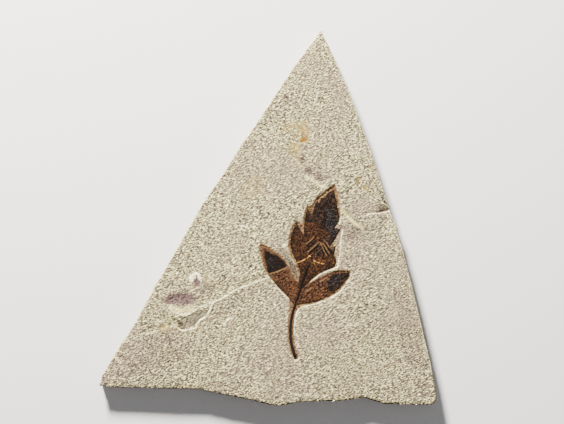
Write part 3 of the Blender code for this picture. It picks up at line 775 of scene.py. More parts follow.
def paint_stone():
    """The plate's attributes. Corners below the face only take those of the sides."""
    co = np.empty(len(plate.data.vertices) * 3, np.float32)
    plate.data.vertices.foreach_get("co", co)
    x, y = co.reshape(-1, 3).astype(float).T[:2] / METRES_PER_MM
    face = np.arange(len(x)) < len(plate_skin)
    from_rim = Beside(x, y, rim_loop, 5.0, closed=True)
    from_edge = Beside(x, y, plate_loop, 5.0, closed=True)
    in_hollow = inside(x, y, rim_loop) & face
    # The grain's height, which the material turns into painted highlight on crests and painted shade in the
    # lows.
    crest = np.full(len(x), 0.5)
    crest[face] = 0.5 + 0.55 * plate_skin
    beside_leaf = near_leaf(x, y)
    stain = in_hollow * ramp(from_rim.away, 0.25, 0.55) * beside_leaf
    stain *= 1.0 - 0.62 * ramp(x, 38.6, 39.6) * ramp(-y, 2.0, 6.0) * ramp(y, -32.0, -29.0)
    # Painted: a brown line of leaf stain and shade on the wall facing away from the light, a highlight on
    # the lit side.
    run = np.arange(len(rim_loop)) * from_rim.length / len(rim_loop)
    towards = left_of(rim_loop) @ LIT_SIDE
    lit = ramp(np.interp(from_rim.run, run, towards), 0.0, 0.4) * (1.0 - ramp(y, 5.0, 9.0))
    out = np.where(in_hollow, -from_rim.away, from_rim.away)
    wall = np.clip(1.0 - np.abs(out + 0.12) / 1.6, 0.0, None) * (1.0 - lit) * beside_leaf
    rim_light = np.clip(1.0 - np.abs(out - 0.05) / 1.3, 0.0, None) * lit
    paint(
        plate,
        crest=crest,
        stain=stain * face,
        ochre=patches(x, y, OCHRE_PATCHES) * face,
        mauve=patches(x, y, MAUVE_SHADE_PATCHES) * face,
        grey=patches(x, y, GREY_SHADE_PATCHES) * face,
        dark=np.maximum(patches(x, y, DARK_PATCHES), lines_of(x, y, SHADE_LINES)) * face,
        cream=lines_of(x, y, CREAM_HIGHLIGHT_LINES) * face,
        smooth=patches(x, y, SMOOTH_PATCHES) * face,
        fresh=np.maximum(nearness(x, y, HIGHLIGHT_LINES), rim_light) * face,
        wall=wall * face,
        side=~face,
        # Painted highlight along the plate's lit edges, left off the shaded bottom edge.
        edge=(1.0 - from_edge.away / 1.5) * (y > -95.0) * face,
    )
    print("stained share of the face", round(float(stain[face].mean()), 3))


paint_stone()

# %% [markdown]
# A leaflet is a film of carbon less than a millimetre thick. It is cut from a finer mat of triangles, and
# closed underneath by a flat copy and a skirt. The top takes the veins, wrinkles and fold.

# %% A film cut to an outline
FILM_EDGE_HEIGHT = 0.1
FILM_EDGE_REACH = 0.55
FILM_MAT_STEP = 0.34
FILM_BED = FILM_TOP - 0.05
FILM_LIMIT = 11.9
OUTLINE_REACH = 0.7


def film(name, outline, rise, node):
    """A closed film: rise(x, y) over film height, rounded down at the outline as a quarter ellipse."""
    loop = softened(outline, 0.2, OUTLINE_REACH)
    low, high = loop.min(axis=0) - 1.0, loop.max(axis=0) + 1.0
    mat = Mat(loop, *(Ruler(low[axis], high[axis], FILM_MAT_STEP) for axis in (0, 1)))
    x, y = mat.x, mat.y
    away = Beside(x, y, loop, 8.0, closed=True).away
    slope = np.sqrt(1.0 - (1.0 - np.clip(away / FILM_EDGE_REACH, 0.0, 1.0)) ** 2)
    edge = FILM_SEAT + FILM_EDGE_HEIGHT
    top = np.clip(edge + (FILM_BED - edge + rise(x, y)) * slope, FILM_SEAT + 0.05, FILM_LIMIT)
    count = len(x)
    corners = np.vstack([np.column_stack([x, y, top]), np.column_stack([x, y, np.full(count, FILM_SEAT)])])
    start, end = mat.rim.T
    skirt = np.column_stack([start, start + count, end + count, end])
    piece = add_mesh(name, corners, [mat.faces, mat.faces[:, ::-1] + count, skirt])
    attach(piece, "root")
    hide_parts(node)
    print(name, len(corners), "corners,", 2 * len(mat.faces) + 2 * len(skirt), "triangles")
    return piece, np.tile(x, 2), np.tile(y, 2), np.tile(away, 2)

# %% [markdown]
# The end leaflet's side veins leave the midrib at a slant and run to the teeth. Along such a vein the run of
# the midrib minus the distance from it stays the same, so one saw-tooth of that number draws them all.

# %% Veins, folds and tears
BOLD_MIDRIB = STALK_LINE[-4:] + ((21.9, -35.7), (23.4, -31.2), (25.0, -27.0))
FOLD_RIDGES = (
    ((22.7, -16.4), (24.2, -15.0), (25.8, -13.7), (27.3, -12.2), (28.2, -11.6)),
    ((33.0, -13.8), (35.0, -15.0), (36.2, -16.9), (36.9, -18.2)),
    ((23.6, -21.1), (25.3, -19.7), (26.5, -18.5), (28.4, -17.0), (29.9, -15.4), (31.1, -14.7)),
    ((31.1, -14.7), (32.2, -16.6), (33.7, -20.3), (34.7, -22.0), (35.7, -23.6)),
    ((32.4, -15.3), (33.9, -16.9), (35.3, -19.1), (36.2, -20.6), (36.9, -21.9)),
)
FOLD_CLEFTS = (
    ((23.2, -17.6), (25.3, -15.1), (26.9, -13.9), (28.6, -12.2), (29.6, -11.0)),
    ((29.6, -13.7), (31.2, -13.9), (33.0, -14.3), (34.2, -15.3), (35.4, -17.0), (36.5, -18.5),
     (37.6, -20.3), (38.5, -22.5), (39.3, -23.8)),
    ((31.9, -16.4), (33.9, -18.7), (34.8, -20.6), (35.8, -22.4), (36.6, -23.9)),
    ((24.2, -21.9), (26.1, -20.5), (27.6, -19.1), (29.0, -17.9), (31.0, -16.6)),
    ((24.0, -18.8), (25.6, -17.2), (27.4, -15.8), (29.0, -13.8)),
)
TORN_CRACK = (
    (15.6, -27.2), (17.6, -27.0), (19.2, -26.5), (21.0, -25.7), (22.3, -24.9), (23.8, -24.3), (24.8, -22.9),
    (26.1, -23.7),
)
# Each branch: line, strength
TORN_BRANCHES = (
    (((26.4, -24.8), (28.1, -26.2), (29.6, -26.9), (31.8, -27.5), (34.4, -28.0)), 0.85),
    (((26.6, -25.8), (27.9, -27.7), (28.8, -29.6), (29.3, -32.4)), 0.6),
    (((26.2, -26.2), (26.8, -28.4), (27.2, -31.0)), 0.46),
    (((25.2, -25.4), (24.2, -27.4), (23.6, -30.2)), 0.46),
)
LEFT_LEFT_MARGIN = ((-4.0, -22.0), (-2.6, -28.6), (-0.6, -33.0), (2.0, -37.0))
LEFT_TEAR = ((0.0, -34.0), (4.2, -32.8), (7.4, -31.6), (10.6, -30.2), (12.6, -28.4))
SIDE_VEIN_PITCH = 4.1
HATCH_PITCH = 0.92


def slanting_veins(x, y, midrib, pitch, slant, width):
    """1 on the side veins of a midrib: bell of how far run - slant x distance is from a whole pitch."""
    near = Beside(x, y, evenly(midrib, 0.5), 30.0)
    shifted = near.run - slant * near.away + 0.35 * near.side * pitch
    number = shifted / pitch + 0.12 * noise(x / 3.0, y / 3.0, 81)
    return bell((number - np.round(number)) * pitch, width) * ramp(near.away, 0.2, 0.9)


def drawn(x, y, line, width, fade=0.1, aside=0.0):
    """A stroke on the film, whose lines are followed in finer steps."""
    return stroke(x, y, line, width, fade, 0.4, aside=aside)


def ragged(x, y, strength, seed):
    """Breaks a mark up: between 1 - strength and 1, as quick noise goes."""
    return 1.0 - strength * ramp(clouds(x, y, 1.3, seed), -0.25, 0.35)


def zone(x, y, loop, blur, seed):
    """1 inside a loop and 0 outside, its border frayed by clouds over about the blur."""
    side = np.where(inside(x, y, loop), 1.0, -1.0)
    signed = Beside(x, y, loop, 30.0, closed=True).away * side
    return ramp(signed + 1.6 * blur * clouds(x, y, 1.8, seed), -blur, blur)


def end_rise(x, y):
    """The end leaflet's relief: midrib, side veins, fine hatch, the fold's double arch, tear, crinkles."""
    height = 0.14 * drawn(x, y, END_MIDRIB, 0.34, 0.02) + 0.16 * drawn(x, y, BOLD_MIDRIB, 0.42, 0.02)
    height += 0.055 * slanting_veins(x, y, END_MIDRIB, SIDE_VEIN_PITCH, 0.95, 0.3)
    height += 0.035 * slanting_veins(x, y, END_MIDRIB, HATCH_PITCH, 0.95, 0.24)
    height += sum(0.26 * drawn(x, y, line, 0.38, 0.12) for line in FOLD_RIDGES)
    height -= sum(0.16 * drawn(x, y, line, 0.34, 0.12) for line in FOLD_CLEFTS)
    height -= 0.2 * drawn(x, y, TORN_CRACK, 0.34)
    return height + 0.16 * clouds(x, y, 2.6, 85)


def left_rise(x, y):
    """The left leaflet's relief: midrib, faint hatch, a step down at the tear, crinkles."""
    height = 0.12 * drawn(x, y, LEFT_MIDRIB, 0.34, 0.15)
    height += 0.035 * slanting_veins(x, y, LEFT_MIDRIB, 1.05, 0.8, 0.26)
    height -= 0.22 * drawn(x, y, LEFT_TEAR, 0.34)
    return height + 0.1 * clouds(x, y, 2.8, 87)


def right_rise(x, y):
    """The right leaflet's relief: midrib, faint hatch, crinkles along its length."""
    height = 0.14 * drawn(x, y, RIGHT_MIDRIB, 0.34, 0.1)
    height += 0.035 * slanting_veins(x, y, RIGHT_MIDRIB, 1.0, 0.9, 0.26)
    along, across = x * 0.85 + y * 0.53, y * 0.85 - x * 0.53
    return height + 0.13 * noise(along / 4.6, across / 1.5, 89) + 0.05 * clouds(x, y, 2.0, 90)


end_leaflet = film("end_leaflet_film", END_OUTLINE, end_rise, "end_leaflet")
left_leaflet = film("left_leaflet_film", LEFT_OUTLINE, left_rise, "left_leaflet")
right_leaflet = film("right_leaflet_film", RIGHT_OUTLINE, right_rise, "right_leaflet")

# %% [markdown]
# Some of the carbon has flaked off with the other half of the stone. Where it is whole the film is near
# black, and where it is thin the stained stone shows through it brown. Along the tears it is golden.

# %% Where the carbon is whole, thin or torn
END_DARK = (
    (40.5, 17.5), (34.0, 15.5), (24.0, 8.0), (21.0, 1.0), (20.6, -4.0), (24.0, -3.2), (28.0, -2.8),
    (31.5, -4.8), (34.5, -7.2), (36.8, -9.4), (37.0, -12.4), (38.2, -14.5), (37.4, -16.5), (37.2, -21.5),
    (41.6, -21.5), (44.5, -14.0), (44.5, 0.0),
)
LOBE_DARK = (
    (17.2, -1.5), (15.0, -5.0), (12.6, -11.0), (12.4, -19.5), (14.2, -20.0), (15.0, -12.5), (17.0, -8.0),
    (19.4, -6.6),
)
END_LOW_DARK = ((26.8, -16.4), (30.2, -15.6), (33.6, -18.6), (34.0, -22.4), (30.0, -23.2), (27.0, -21.4))
FLAKE_DARK = ((37.3, -18.7), (39.6, -17.4), (40.4, -17.9), (39.7, -20.6), (38.5, -22.4), (37.8, -20.9))
LEFT_DARK = (
    (-2.1, -19.5), (2.4, -21.9), (6.6, -23.1), (10.2, -26.7), (11.4, -29.1), (10.2, -30.6), (7.2, -31.5),
    (4.2, -32.7), (2.4, -33.9), (0.0, -33.9), (-0.6, -31.5), (-1.2, -28.5), (-2.1, -23.7),
)
RIGHT_DARK = (
    (35.8, -39.0), (37.2, -35.8), (40.4, -33.6), (44.0, -33.0), (50.0, -32.6), (48.6, -36.4), (44.4, -41.6),
    (40.0, -44.6), (36.6, -45.2),
)
END_CREASE = ((30.0, -12.4), (31.2, -7.6), (33.0, -2.6), (35.4, 5.7))
RIGHT_TORN_MARGIN = ((44.6, -40.6), (47.4, -36.9), (48.2, -34.8))


def strongest(*marks):
    """The greatest of several marks at each place."""
    return np.max(marks, axis=0)


def paint_end():
    """The end leaflet's fields: dark tip, lobe, flakes, golden tear, midrib, fold with painted highlights,
    painted slate sheen.
    """
    piece, x, y, away = end_leaflet
    dark = strongest(
        zone(x, y, END_DARK, 0.9, 91),
        0.8 * zone(x, y, LOBE_DARK, 0.7, 92),
        0.9 * zone(x, y, END_LOW_DARK, 0.9, 93),
        0.95 * zone(x, y, FLAKE_DARK, 0.3, 100),
        0.55 * np.exp(-away / 0.9) * (y > -26.0),
    )
    gold = strongest(
        0.8 * drawn(x, y, TORN_CRACK, 0.34, 0.06),
        *(strength * drawn(x, y, line, 0.3, 0.12) for line, strength in TORN_BRANCHES),
    )
    crumbs = patches(x, y, (((25.0, -25.2), 1.7, 2.2, -50.0, 0.9), ((31.0, -27.0), 1.3, 4.0, 70.0, 0.85)))
    vein = strongest(
        1.9 * drawn(x, y, BOLD_MIDRIB, 0.7, 0.05),
        0.5 * drawn(x, y, END_MIDRIB, 0.3, 0.02),
        0.45 * slanting_veins(x, y, END_MIDRIB, SIDE_VEIN_PITCH, 0.95, 0.24),
        0.45 * slanting_veins(x, y, END_MIDRIB, HATCH_PITCH, 0.95, 0.22),
        0.7 * drawn(x, y, END_CREASE, 0.8, 0.3),
        # The fold's clefts are darkened near black along with the veins.
        *(1.6 * drawn(x, y, line, 0.4, 0.08) for line in FOLD_CLEFTS),
    )
    # Painted highlights on the fold's ridges and beside the flake's edge.
    pale = strongest(
        0.5 * drawn(x, y, FLAKE_DARK[:3], 0.24, 0.1, 0.45),
        *(drawn(x, y, line, 0.22, 0.1) for line in FOLD_RIDGES),
    )
    paint(
        piece,
        dark=dark,
        gold=np.maximum(gold * ragged(x, y, 0.3, 96), 0.32 * crumbs),
        vein=vein,
        blue=patches(x, y, (((38.6, -3.0), 4.0, 8.0, 10.0, 0.9), ((36.6, -16.0), 1.4, 4.6, 25.0, 0.8))),
        pale=pale * ragged(x, y, 0.5, 95),
        edge=np.exp(-away / 0.5),
    )


def paint_left():
    """The left leaflet's fields: dark above the tear, pale along the tear and the rim."""
    piece, x, y, away = left_leaflet
    dark = zone(x, y, LEFT_DARK, 0.5, 94)
    gold = strongest(
        patches(x, y, (((13.2, -40.5), 0.7, 1.2, 60.0, 0.28), ((10.6, -38.6), 0.6, 1.0, 60.0, 0.2))),
        0.5 * drawn(x, y, LEFT_LEFT_MARGIN, 0.35, 0.1),
    )
    paint(
        piece,
        dark=dark,
        gold=gold * ragged(x, y, 0.6, 98),
        vein=strongest(
            0.4 * drawn(x, y, LEFT_MIDRIB, 0.32, 0.15),
            0.28 * slanting_veins(x, y, LEFT_MIDRIB, 1.05, 0.8, 0.24),
        ),
        blue=patches(x, y, (((2.0, -27.5), 2.0, 3.6, 20.0, 0.4),)),
        pale=strongest(
            0.3 * np.exp(-away / 1.0) * (1.0 - dark) * (y > -38.0),
            0.8 * drawn(x, y, LEFT_TEAR, 0.3),
        ),
        edge=np.exp(-away / 0.5),
    )


def paint_right():
    """The right leaflet's fields: dark and a painted slate sheen towards the tip, pale streaks along its
    length.
    """
    piece, x, y, away = right_leaflet
    gold = strongest(
        patches(x, y, (((33.8, -40.4), 0.5, 2.0, -60.0, 0.3), ((31.0, -43.8), 0.5, 1.6, -60.0, 0.18))),
        0.6 * drawn(x, y, RIGHT_TORN_MARGIN, 0.4),
    )
    pale = patches(x, y, (((33.4, -37.2), 0.5, 2.6, -60.0, 0.7), ((24.6, -43.4), 0.5, 2.4, -60.0, 0.6)))
    paint(
        piece,
        dark=zone(x, y, RIGHT_DARK, 1.0, 95),
        gold=gold * ragged(x, y, 0.7, 99),
        vein=strongest(
            0.55 * drawn(x, y, RIGHT_MIDRIB, 0.36, 0.1),
            0.28 * slanting_veins(x, y, RIGHT_MIDRIB, 1.0, 0.9, 0.24),
        ),
        blue=patches(x, y, (((40.0, -37.6), 2.4, 4.6, -50.0, 0.9), ((33.0, -38.6), 1.4, 3.0, -60.0, 0.5))),
        pale=pale * ragged(x, y, 0.8, 94),
        edge=np.exp(-away / 0.5),
    )


paint_end()
paint_left()
paint_right()
print("fields of the end leaflet", [field.name for field in end_leaflet[0].data.attributes][:8])

# %% [markdown]
# The stalk is thicker than the film and stood up as a rib. It is a half-round section carried along its
# line, thinner towards the fork, with long ridges and a pole at each end.

# %% The stalk
STALK_WIDTH_AT_FOOT = 2.15
STALK_WIDTH_AT_FORK = 1.05
STALK_ROUND = 28
STALK_STEP = 0.3


def stalk():
    """Rings across the line: at angle t, half width x cos t across and height x sin t up, flat below."""
    path = evenly(STALK_LINE, STALK_STEP)
    for _ in range(6):
        path[1:-1] = (path[:-2] + 2.0 * path[1:-1] + path[2:]) / 4.0
    rings = len(path)
    along = np.gradient(path, axis=0)
    along /= np.linalg.norm(along, axis=1)[:, None]
    left = np.column_stack([-along[:, 1], along[:, 0]])
    share, turn = np.meshgrid(
        np.linspace(0.0, 1.0, rings), np.linspace(0.0, math.tau, STALK_ROUND, endpoint=False), indexing="ij"
    )
    taper = np.sqrt(np.clip(share / 0.012, 0.0, 1.0)) * np.sqrt(np.clip((1.0 - share) / 0.012, 0.0, 1.0))
    half = 0.5 * (STALK_WIDTH_AT_FOOT + (STALK_WIDTH_AT_FORK - STALK_WIDTH_AT_FOOT) * share)
    half = half * (0.15 + 0.85 * taper) * (1.0 + 0.1 * noise(share * 23.0, share * 0.0, 101))
    ridge = 0.05 * np.cos(5.0 * turn) + 0.06 * noise(share * 40.0, 3.0 * np.sin(turn), 102)
    across = np.cos(turn) * half
    up = np.clip(np.sin(turn), 0.0, None) * (0.8 + ridge) * (0.2 + 0.8 * taper)
    x, y = (path[:, axis, None] + left[:, axis, None] * across for axis in (0, 1))
    z = np.minimum(FILM_SEAT + up, FILM_LIMIT)
    corners = np.column_stack([x.ravel(), y.ravel(), z.ravel()])
    poles = np.array([[*path[0], FILM_SEAT + 0.08], [*path[-1], FILM_SEAT + 0.08]])
    ring, place = np.mgrid[0 : rings - 1, 0:STALK_ROUND]
    here = ring * STALK_ROUND + place
    beside = ring * STALK_ROUND + (place + 1) % STALK_ROUND
    sides = np.stack([here, here + STALK_ROUND, beside + STALK_ROUND, beside], -1).reshape(-1, 4)
    first = np.arange(STALK_ROUND)
    last = first + (rings - 1) * STALK_ROUND
    foot = np.column_stack([np.full(STALK_ROUND, len(corners)), first, np.roll(first, -1)])
    fork = np.column_stack([np.full(STALK_ROUND, len(corners) + 1), np.roll(last, -1), last])
    piece = add_mesh("leaf_stalk_rib", np.vstack([corners, poles]), [sides, foot, fork])
    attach(piece, "root")
    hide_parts("leaf_stalk")
    crown = np.maximum(np.sin(turn), ramp(share, 0.7, 0.8)).ravel()
    paint(piece, crown=np.append(crown, [0.5, 0.5]))
    print("stalk", rings, "rings of", STALK_ROUND)
    return piece


leaf_stalk = stalk()

# %% [markdown]
# Materials are written as sums. A small class stands for one value on its way through the nodes, and a sum
# or a product with it makes the Math node. Colours are given as they look on a screen.

# %% A small language for materials
def math_node(operation, reflected=False):
    """The method behind an operator: one Math node of a signal and a signal or number on either side."""

    def method(signal, other):
        first, second = (other, signal) if reflected else (signal, other)
        return signal.finish.node("ShaderNodeMath", {"operation": operation}, {0: first, 1: second})

    return method


class Signal:
    """A value in a material. Sums and products with it add Math nodes."""

    def __init__(self, finish, socket):
        self.finish = finish
        self.socket = socket

    __add__ = math_node("ADD")
    __radd__ = math_node("ADD", reflected=True)
    __sub__ = math_node("SUBTRACT")
    __rsub__ = math_node("SUBTRACT", reflected=True)
    __mul__ = math_node("MULTIPLY")
    __rmul__ = math_node("MULTIPLY", reflected=True)


class Finish:
    """A Principled material under construction."""

    def __init__(self, name):
        self.material = bpy.data.materials.new(name)
        self.material.use_nodes = True
        self.tree = self.material.node_tree
        self.shader = self.tree.nodes["Principled BSDF"]

    def node(self, kind, settings, inputs, output=0):
        """One node: its settings and its ramp's stops first, then each socket's value or link."""
        made = self.tree.nodes.new(kind)
        for name, value in settings.items():
            if name == "stops":
                self._set_stops(made.color_ramp, value)
            else:
                setattr(made, name, value)
        for place, value in inputs.items():
            self.feed(made.inputs[place], value)
        return Signal(self, made.outputs[output])

    def _set_stops(self, ramp_of_node, stops):
        """Gives a colour ramp its places and colours."""
        while len(ramp_of_node.elements) < len(stops):
            ramp_of_node.elements.new(0.5)
        for element, (place, colour) in zip(ramp_of_node.elements, stops):
            element.position = place
            element.color = colour

    def feed(self, socket, value):
        """Links a signal to a socket, or sets the socket to a constant."""
        if isinstance(value, Signal):
            self.tree.links.new(value.socket, socket)
        else:
            socket.default_value = value

    def number(self, name):
        """A number painted on the mesh."""
        return self.node("ShaderNodeAttribute", {"attribute_name": name}, {}, "Fac")

    def place(self, size=(1.0, 1.0, 1.0), turn=0.0):
        """The place on the object in millimetres, divided by a size along each axis after a turn about z."""
        scale = [1.0 / (METRES_PER_MM * length) for length in size]
        here = self.node("ShaderNodeTexCoord", {}, {}, "Object")
        turned = self.node("ShaderNodeMapping", {}, {"Vector": here, "Rotation": (0.0, 0.0, -turn)})
        return self.node("ShaderNodeMapping", {}, {"Vector": turned, "Scale": scale})

    def cloud(self, place, detail=3.0, roughness=0.5, distortion=0.0):
        """Smooth random values from 0 to 1, about one hump to each unit of the place."""
        shape = {"Detail": detail, "Roughness": roughness, "Distortion": distortion}
        return self.node("ShaderNodeTexNoise", {}, {"Vector": place, "Scale": 1.0, **shape}, "Fac")

    def blend(self, share, first, second):
        """A colour between two."""
        return self.node("ShaderNodeMix", {"data_type": "RGBA"}, {0: share, 6: first, 7: second}, 2)

    def over(self, colour, layers):
        """A colour with others laid over it in turn, each by its own share."""
        for share, other in layers:
            colour = self.blend(share, colour, other)
        return colour

    def between(self, value, low, high, at_low=0.0, at_high=1.0):
        """at_low below low, at_high above high, smooth between them."""
        inputs = {"Value": value, "From Min": low, "From Max": high, "To Min": at_low, "To Max": at_high}
        return self.node("ShaderNodeMapRange", {"interpolation_type": "SMOOTHSTEP"}, inputs)

    def bump(self, height, strength, distance, under=None):
        """A normal tilted by a height; distance is in metres."""
        inputs = {"Height": height, "Strength": strength, "Distance": distance}
        if under is not None:
            inputs["Normal"] = under
        return self.node("ShaderNodeBump", {}, inputs)

    def give(self, piece, **surface):
        """Feeds the shader's sockets and puts the material on a piece."""
        for name, value in surface.items():
            self.feed(self.shader.inputs[name.replace("_", " ")], value)
        piece.data.materials.clear()
        piece.data.materials.append(self.material)


def shade(red, green, blue):
    """Light values of a screen colour: each part over 255, then ((c + 0.055) / 1.055) to the power 2.4."""
    parts = [((part / 255.0 + 0.055) / 1.055) ** 2.4 for part in (red, green, blue)]
    return (*parts, 1.0)


print("light values of pale stone", np.round(shade(200, 190, 168)[:3], 3))

# %% [markdown]
# Lake limestone is pale grey-buff, without any gloss. Its colour follows the pebbles: painted highlight on
# their cream tops and painted grey-brown shade between them. The colour is mixed in that order, and the
# stains, painted shade and painted highlights are laid over it.

# %% Limestone
def limestone():
    """Mottled buff with painted shade between pebbles and painted highlight on them, and the marks laid over
    it.
    """
    stone = Finish("limestone")
    rough = 1.0 - stone.number("smooth") * 0.5
    lumps = stone.cloud(stone.place((1.9, 0.62, 1.0), GRAIN_TURN), 2.0, 0.6, 0.2)
    pebbles = stone.between(lumps, 0.28, 0.72)
    specks = stone.cloud(stone.place((1.1, 0.47, 0.7), GRAIN_TURN), 1.0, 0.5)
    broad = stone.cloud(stone.place((34.0, 26.0, 30.0)), 2.0, 0.5)
    # Bump noise and grain height set the buff: painted highlight on the pebbles' tops, painted shade between
    # them.
    crest = stone.number("crest") - 0.5
    level = (pebbles - 0.5 + (specks - 0.5) * 2.4 + crest * 0.12) * rough + 0.5
    stops = (
        (0.02, shade(76, 68, 58)),
        (0.32, shade(117, 104, 86)),
        (0.56, shade(153, 139, 103)),
        (0.84, shade(255, 246, 182)),
    )
    buff = stone.node("ShaderNodeValToRGB", {"stops": stops}, {"Fac": level})
    layers = stone.cloud(stone.place((46.0, 46.0, 1.2)), 3.0, 0.6) + (specks - 0.5) * 0.5
    bed = stone.blend(stone.between(layers, 0.38, 0.62), shade(166, 138, 122), shade(230, 212, 192))
    ochre = stone.number("ochre")
    iron = stone.blend(stone.between(ochre, 0.55, 1.0), shade(166, 138, 62), shade(138, 94, 28))
    shade_mottle = stone.between(specks, 0.34, 0.66)
    broken = (specks - 0.5) * 0.6 + (stone.cloud(stone.place((2.2, 2.2, 2.2)), 1.0) - 0.5) * 0.6
    highlight = shade(255, 248, 196)
    line = stone.blend(stone.between(specks, 0.35, 0.65), shade(102, 70, 52), shade(180, 140, 100))
    seep = stone.between(stone.cloud(stone.place((0.9, 0.9, 0.9)), 3.0, 0.6), 0.4, 0.66)
    colour = stone.over(buff, (
        (stone.between(broad, 0.4, 0.7, 0.0, 0.3), shade(152, 128, 118)),
        (stone.number("side") * 0.85, bed),
        (ochre * 0.98, iron),
        (stone.number("mauve") * 0.84, stone.blend(shade_mottle, shade(50, 34, 44), shade(124, 94, 98))),
        (stone.number("grey") * 0.86, stone.blend(shade_mottle, shade(54, 48, 38), shade(134, 123, 102))),
        (stone.number("dark") * 0.85, shade(50, 34, 26)),
        (stone.number("cream") * 0.9, shade(250, 238, 150)),
        # Painted highlights along the plate's lit edges and on lit ledges, chips, mounds and the hollow's
        # lit rim.
        (stone.between(stone.number("edge") + broken, 0.45, 0.75), highlight),
        (stone.between(stone.number("fresh") + broken * 1.3, 0.6, 0.84), highlight),
        # Painted shade and leaf stain: a brown line on the hollow's wall where it faces away from the light.
        (stone.between(stone.number("wall"), 0.66, 0.82, 0.0, 0.9), line),
        (stone.number("stain"), stone.blend(seep, shade(60, 42, 29), shade(156, 121, 80))),
    ))
    ripples = stone.cloud(stone.place((6.0, 1.3, 2.0), GRAIN_TURN), 1.0)
    grit = stone.bump(specks * rough, 1.0, 0.0009, stone.bump(ripples, 1.0, 0.0022))
    bumps = stone.bump(pebbles * rough, 1.0, 0.0013, grit)
    matt = 0.86 + 0.08 * specks
    stone.give(plate, Base_Color=colour, Roughness=matt, Normal=bumps, Specular_IOR_Level=0.15)


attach(plate, "root")
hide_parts("stone_slab")
limestone()

# %% [markdown]
# The carbon film is dark brown where thin and near black where whole. It has a faint sheen, finer than the
# stone's, and its veins are a little darker than the skin between them.

# %% Carbon film and stalk
FILM_GRAIN_TURN = math.radians(35.0)
THIN_BROWN = ((2, 1, 1), (72, 43, 22))
THIN_RED_BROWN = ((5, 3, 2), (91, 58, 36))
WHOLE_BLACK = ((1, 1, 1), (66, 45, 32))
WHOLE_BROWN_BLACK = ((1, 1, 1), (40, 25, 16))


def carbon(name, piece, thin, whole):
    """Thin brown and whole dark carbon by the painted share, painted slate sheen, darker veins, golden
    tears, a mottle.
    """
    skin = Finish(name)
    mottle = skin.cloud(skin.place((1.15, 0.62, 0.8), FILM_GRAIN_TURN), 3.0, 0.6, 0.3)
    fine = skin.cloud(skin.place((0.5, 0.5, 0.5)), 2.0, 0.6)
    brown = skin.blend(skin.between(mottle, 0.39, 0.66), shade(*thin[0]), shade(*thin[1]))
    black = skin.blend(skin.between(mottle, 0.46, 0.66), shade(*whole[0]), shade(*whole[1]))
    sheen_slate = skin.blend(skin.between(mottle, 0.44, 0.64), shade(1, 2, 2), shade(57, 55, 57))
    gilt = skin.blend(skin.between(mottle, 0.42, 0.6), shade(138, 88, 32), shade(214, 170, 98))
    torn = skin.between(skin.number("gold") + (fine - 0.5) * 0.4, 0.3, 0.74)
    colour = skin.over(brown, (
        (skin.between(mottle + fine * 0.5, 0.84, 1.0, 0.0, 0.34), shade(138, 100, 66)),
        (skin.number("dark"), black),
        # A painted slate sheen where the carbon catches the light.
        (skin.number("blue") * 0.55, sheen_slate),
        (skin.number("edge") * 0.4, shade(26, 14, 9)),
        (skin.number("vein") * 0.95, shade(2, 1, 1)),
        (skin.number("pale") * 0.6, shade(138, 108, 76)),
        (torn * 0.9, gilt),
    ))
    bumps = skin.bump(fine, 0.5, 0.0003, skin.bump(mottle, 0.7, 0.0006))
    matt = 0.74 + 0.2 * mottle
    skin.give(piece, Base_Color=colour, Roughness=matt, Normal=bumps, Specular_IOR_Level=0.08)


def stalk_finish():
    """Near black with brown flanks, streaked along its length."""
    skin = Finish("stalk_film")
    streak = skin.cloud(skin.place((0.5, 3.0, 0.5)), 3.0, 0.6)
    core = skin.blend(skin.between(streak, 0.35, 0.7), shade(3, 2, 2), shade(30, 20, 15))
    flank = skin.blend(skin.between(streak, 0.35, 0.65), shade(70, 50, 40), shade(132, 102, 84))
    colour = skin.blend(skin.between(skin.number("crown"), 0.36, 0.66), flank, core)
    bumps = skin.bump(streak, 0.5, 0.0002)
    matt = 0.6 + 0.2 * streak
    skin.give(leaf_stalk, Base_Color=colour, Roughness=matt, Normal=bumps, Specular_IOR_Level=0.1)


carbon("end_leaflet_film", end_leaflet[0], THIN_BROWN, WHOLE_BLACK)
carbon("side_leaflet_film", left_leaflet[0], THIN_RED_BROWN, WHOLE_BROWN_BLACK)
carbon("side_leaflet_film_right", right_leaflet[0], THIN_RED_BROWN, WHOLE_BLACK)
stalk_finish()
print("materials", [material.name for material in bpy.data.materials])

# %% [markdown]
# The plate lies on a plain pale floor. One soft light stands low at the top left, so that the pebbles and
# the walls of the hollow cast the small shadows they have in the photograph, and a weak sky fills them.

# %% Floor, lights and camera
KEY_AZIMUTH = math.radians(110.0)
KEY_HEIGHT = math.radians(33.0)
KEY_AWAY = 1.1
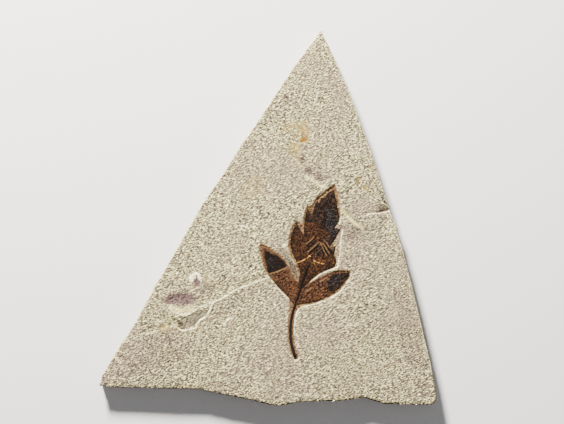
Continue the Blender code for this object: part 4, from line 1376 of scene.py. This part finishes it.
# Each light: power, size, colour
KEY_LIGHT = (104.0, 0.2, (1.0, 0.97, 0.91))
FILL_LIGHT = (3.0, 1.2, (0.94, 0.96, 1.0))
FILL_PLACE = (0.5, -0.5, 1.4)
SKY_COLOUR = (0.95, 0.96, 1.0, 1.0)
SKY_STRENGTH = 0.26
FLOOR_HALF_WIDTH = 1500.0
FLOOR_HEIGHT = -0.2
CAMERA_PLACE = (0.0084, 0.0033, 1.212)
CAMERA_HEIGHT = 1.2
PHOTO_WIDTH = 0.3384
SENSOR = 36.0


def aimed(thing, place, target=(0.0, 0.0, 0.0)):
    """Stands a light at a place with its -Z towards the target."""
    back = [there - here for there, here in zip(place, target)]
    flat = math.hypot(back[0], back[1])
    thing.location = place
    thing.rotation_euler = (math.atan2(flat, back[2]), 0.0, math.atan2(back[1], back[0]) + math.pi / 2.0)
    bpy.context.collection.objects.link(thing)


def area_light(name, place, power, size, colour):
    """A square light aimed at the plate."""
    lamp = bpy.data.lights.new(name, "AREA")
    lamp.energy = power
    lamp.size = size
    lamp.color = colour
    aimed(bpy.data.objects.new(name, lamp), place)


def floor():
    """A wide flat sheet just under the plate."""
    ends = [-FLOOR_HALF_WIDTH, FLOOR_HALF_WIDTH]
    across, up = np.meshgrid(ends, ends)
    corners = np.column_stack([across.ravel(), up.ravel(), np.full(4, FLOOR_HEIGHT)])
    sheet = add_mesh("floor", corners, [np.array([[0, 1, 3, 2]])])
    Finish("pale_floor").give(sheet, Base_Color=shade(208, 206, 204), Roughness=0.9)


floor()
flat = KEY_AWAY * math.cos(KEY_HEIGHT)
key_place = (flat * math.cos(KEY_AZIMUTH), flat * math.sin(KEY_AZIMUTH), KEY_AWAY * math.sin(KEY_HEIGHT))
area_light("key", key_place, *KEY_LIGHT)
area_light("fill", FILL_PLACE, *FILL_LIGHT)
world = bpy.data.worlds.new("studio")
world.use_nodes = True
world.node_tree.nodes["Background"].inputs["Color"].default_value = SKY_COLOUR
world.node_tree.nodes["Background"].inputs["Strength"].default_value = SKY_STRENGTH
bpy.context.scene.world = world

lens = bpy.data.cameras.new("camera")
lens.sensor_width = SENSOR
lens.lens = SENSOR * CAMERA_HEIGHT / PHOTO_WIDTH
camera = bpy.data.objects.new("camera", lens)
camera.location = CAMERA_PLACE
bpy.context.collection.objects.link(camera)
bpy.context.scene.camera = camera
print("lens", round(lens.lens, 1), "mm")
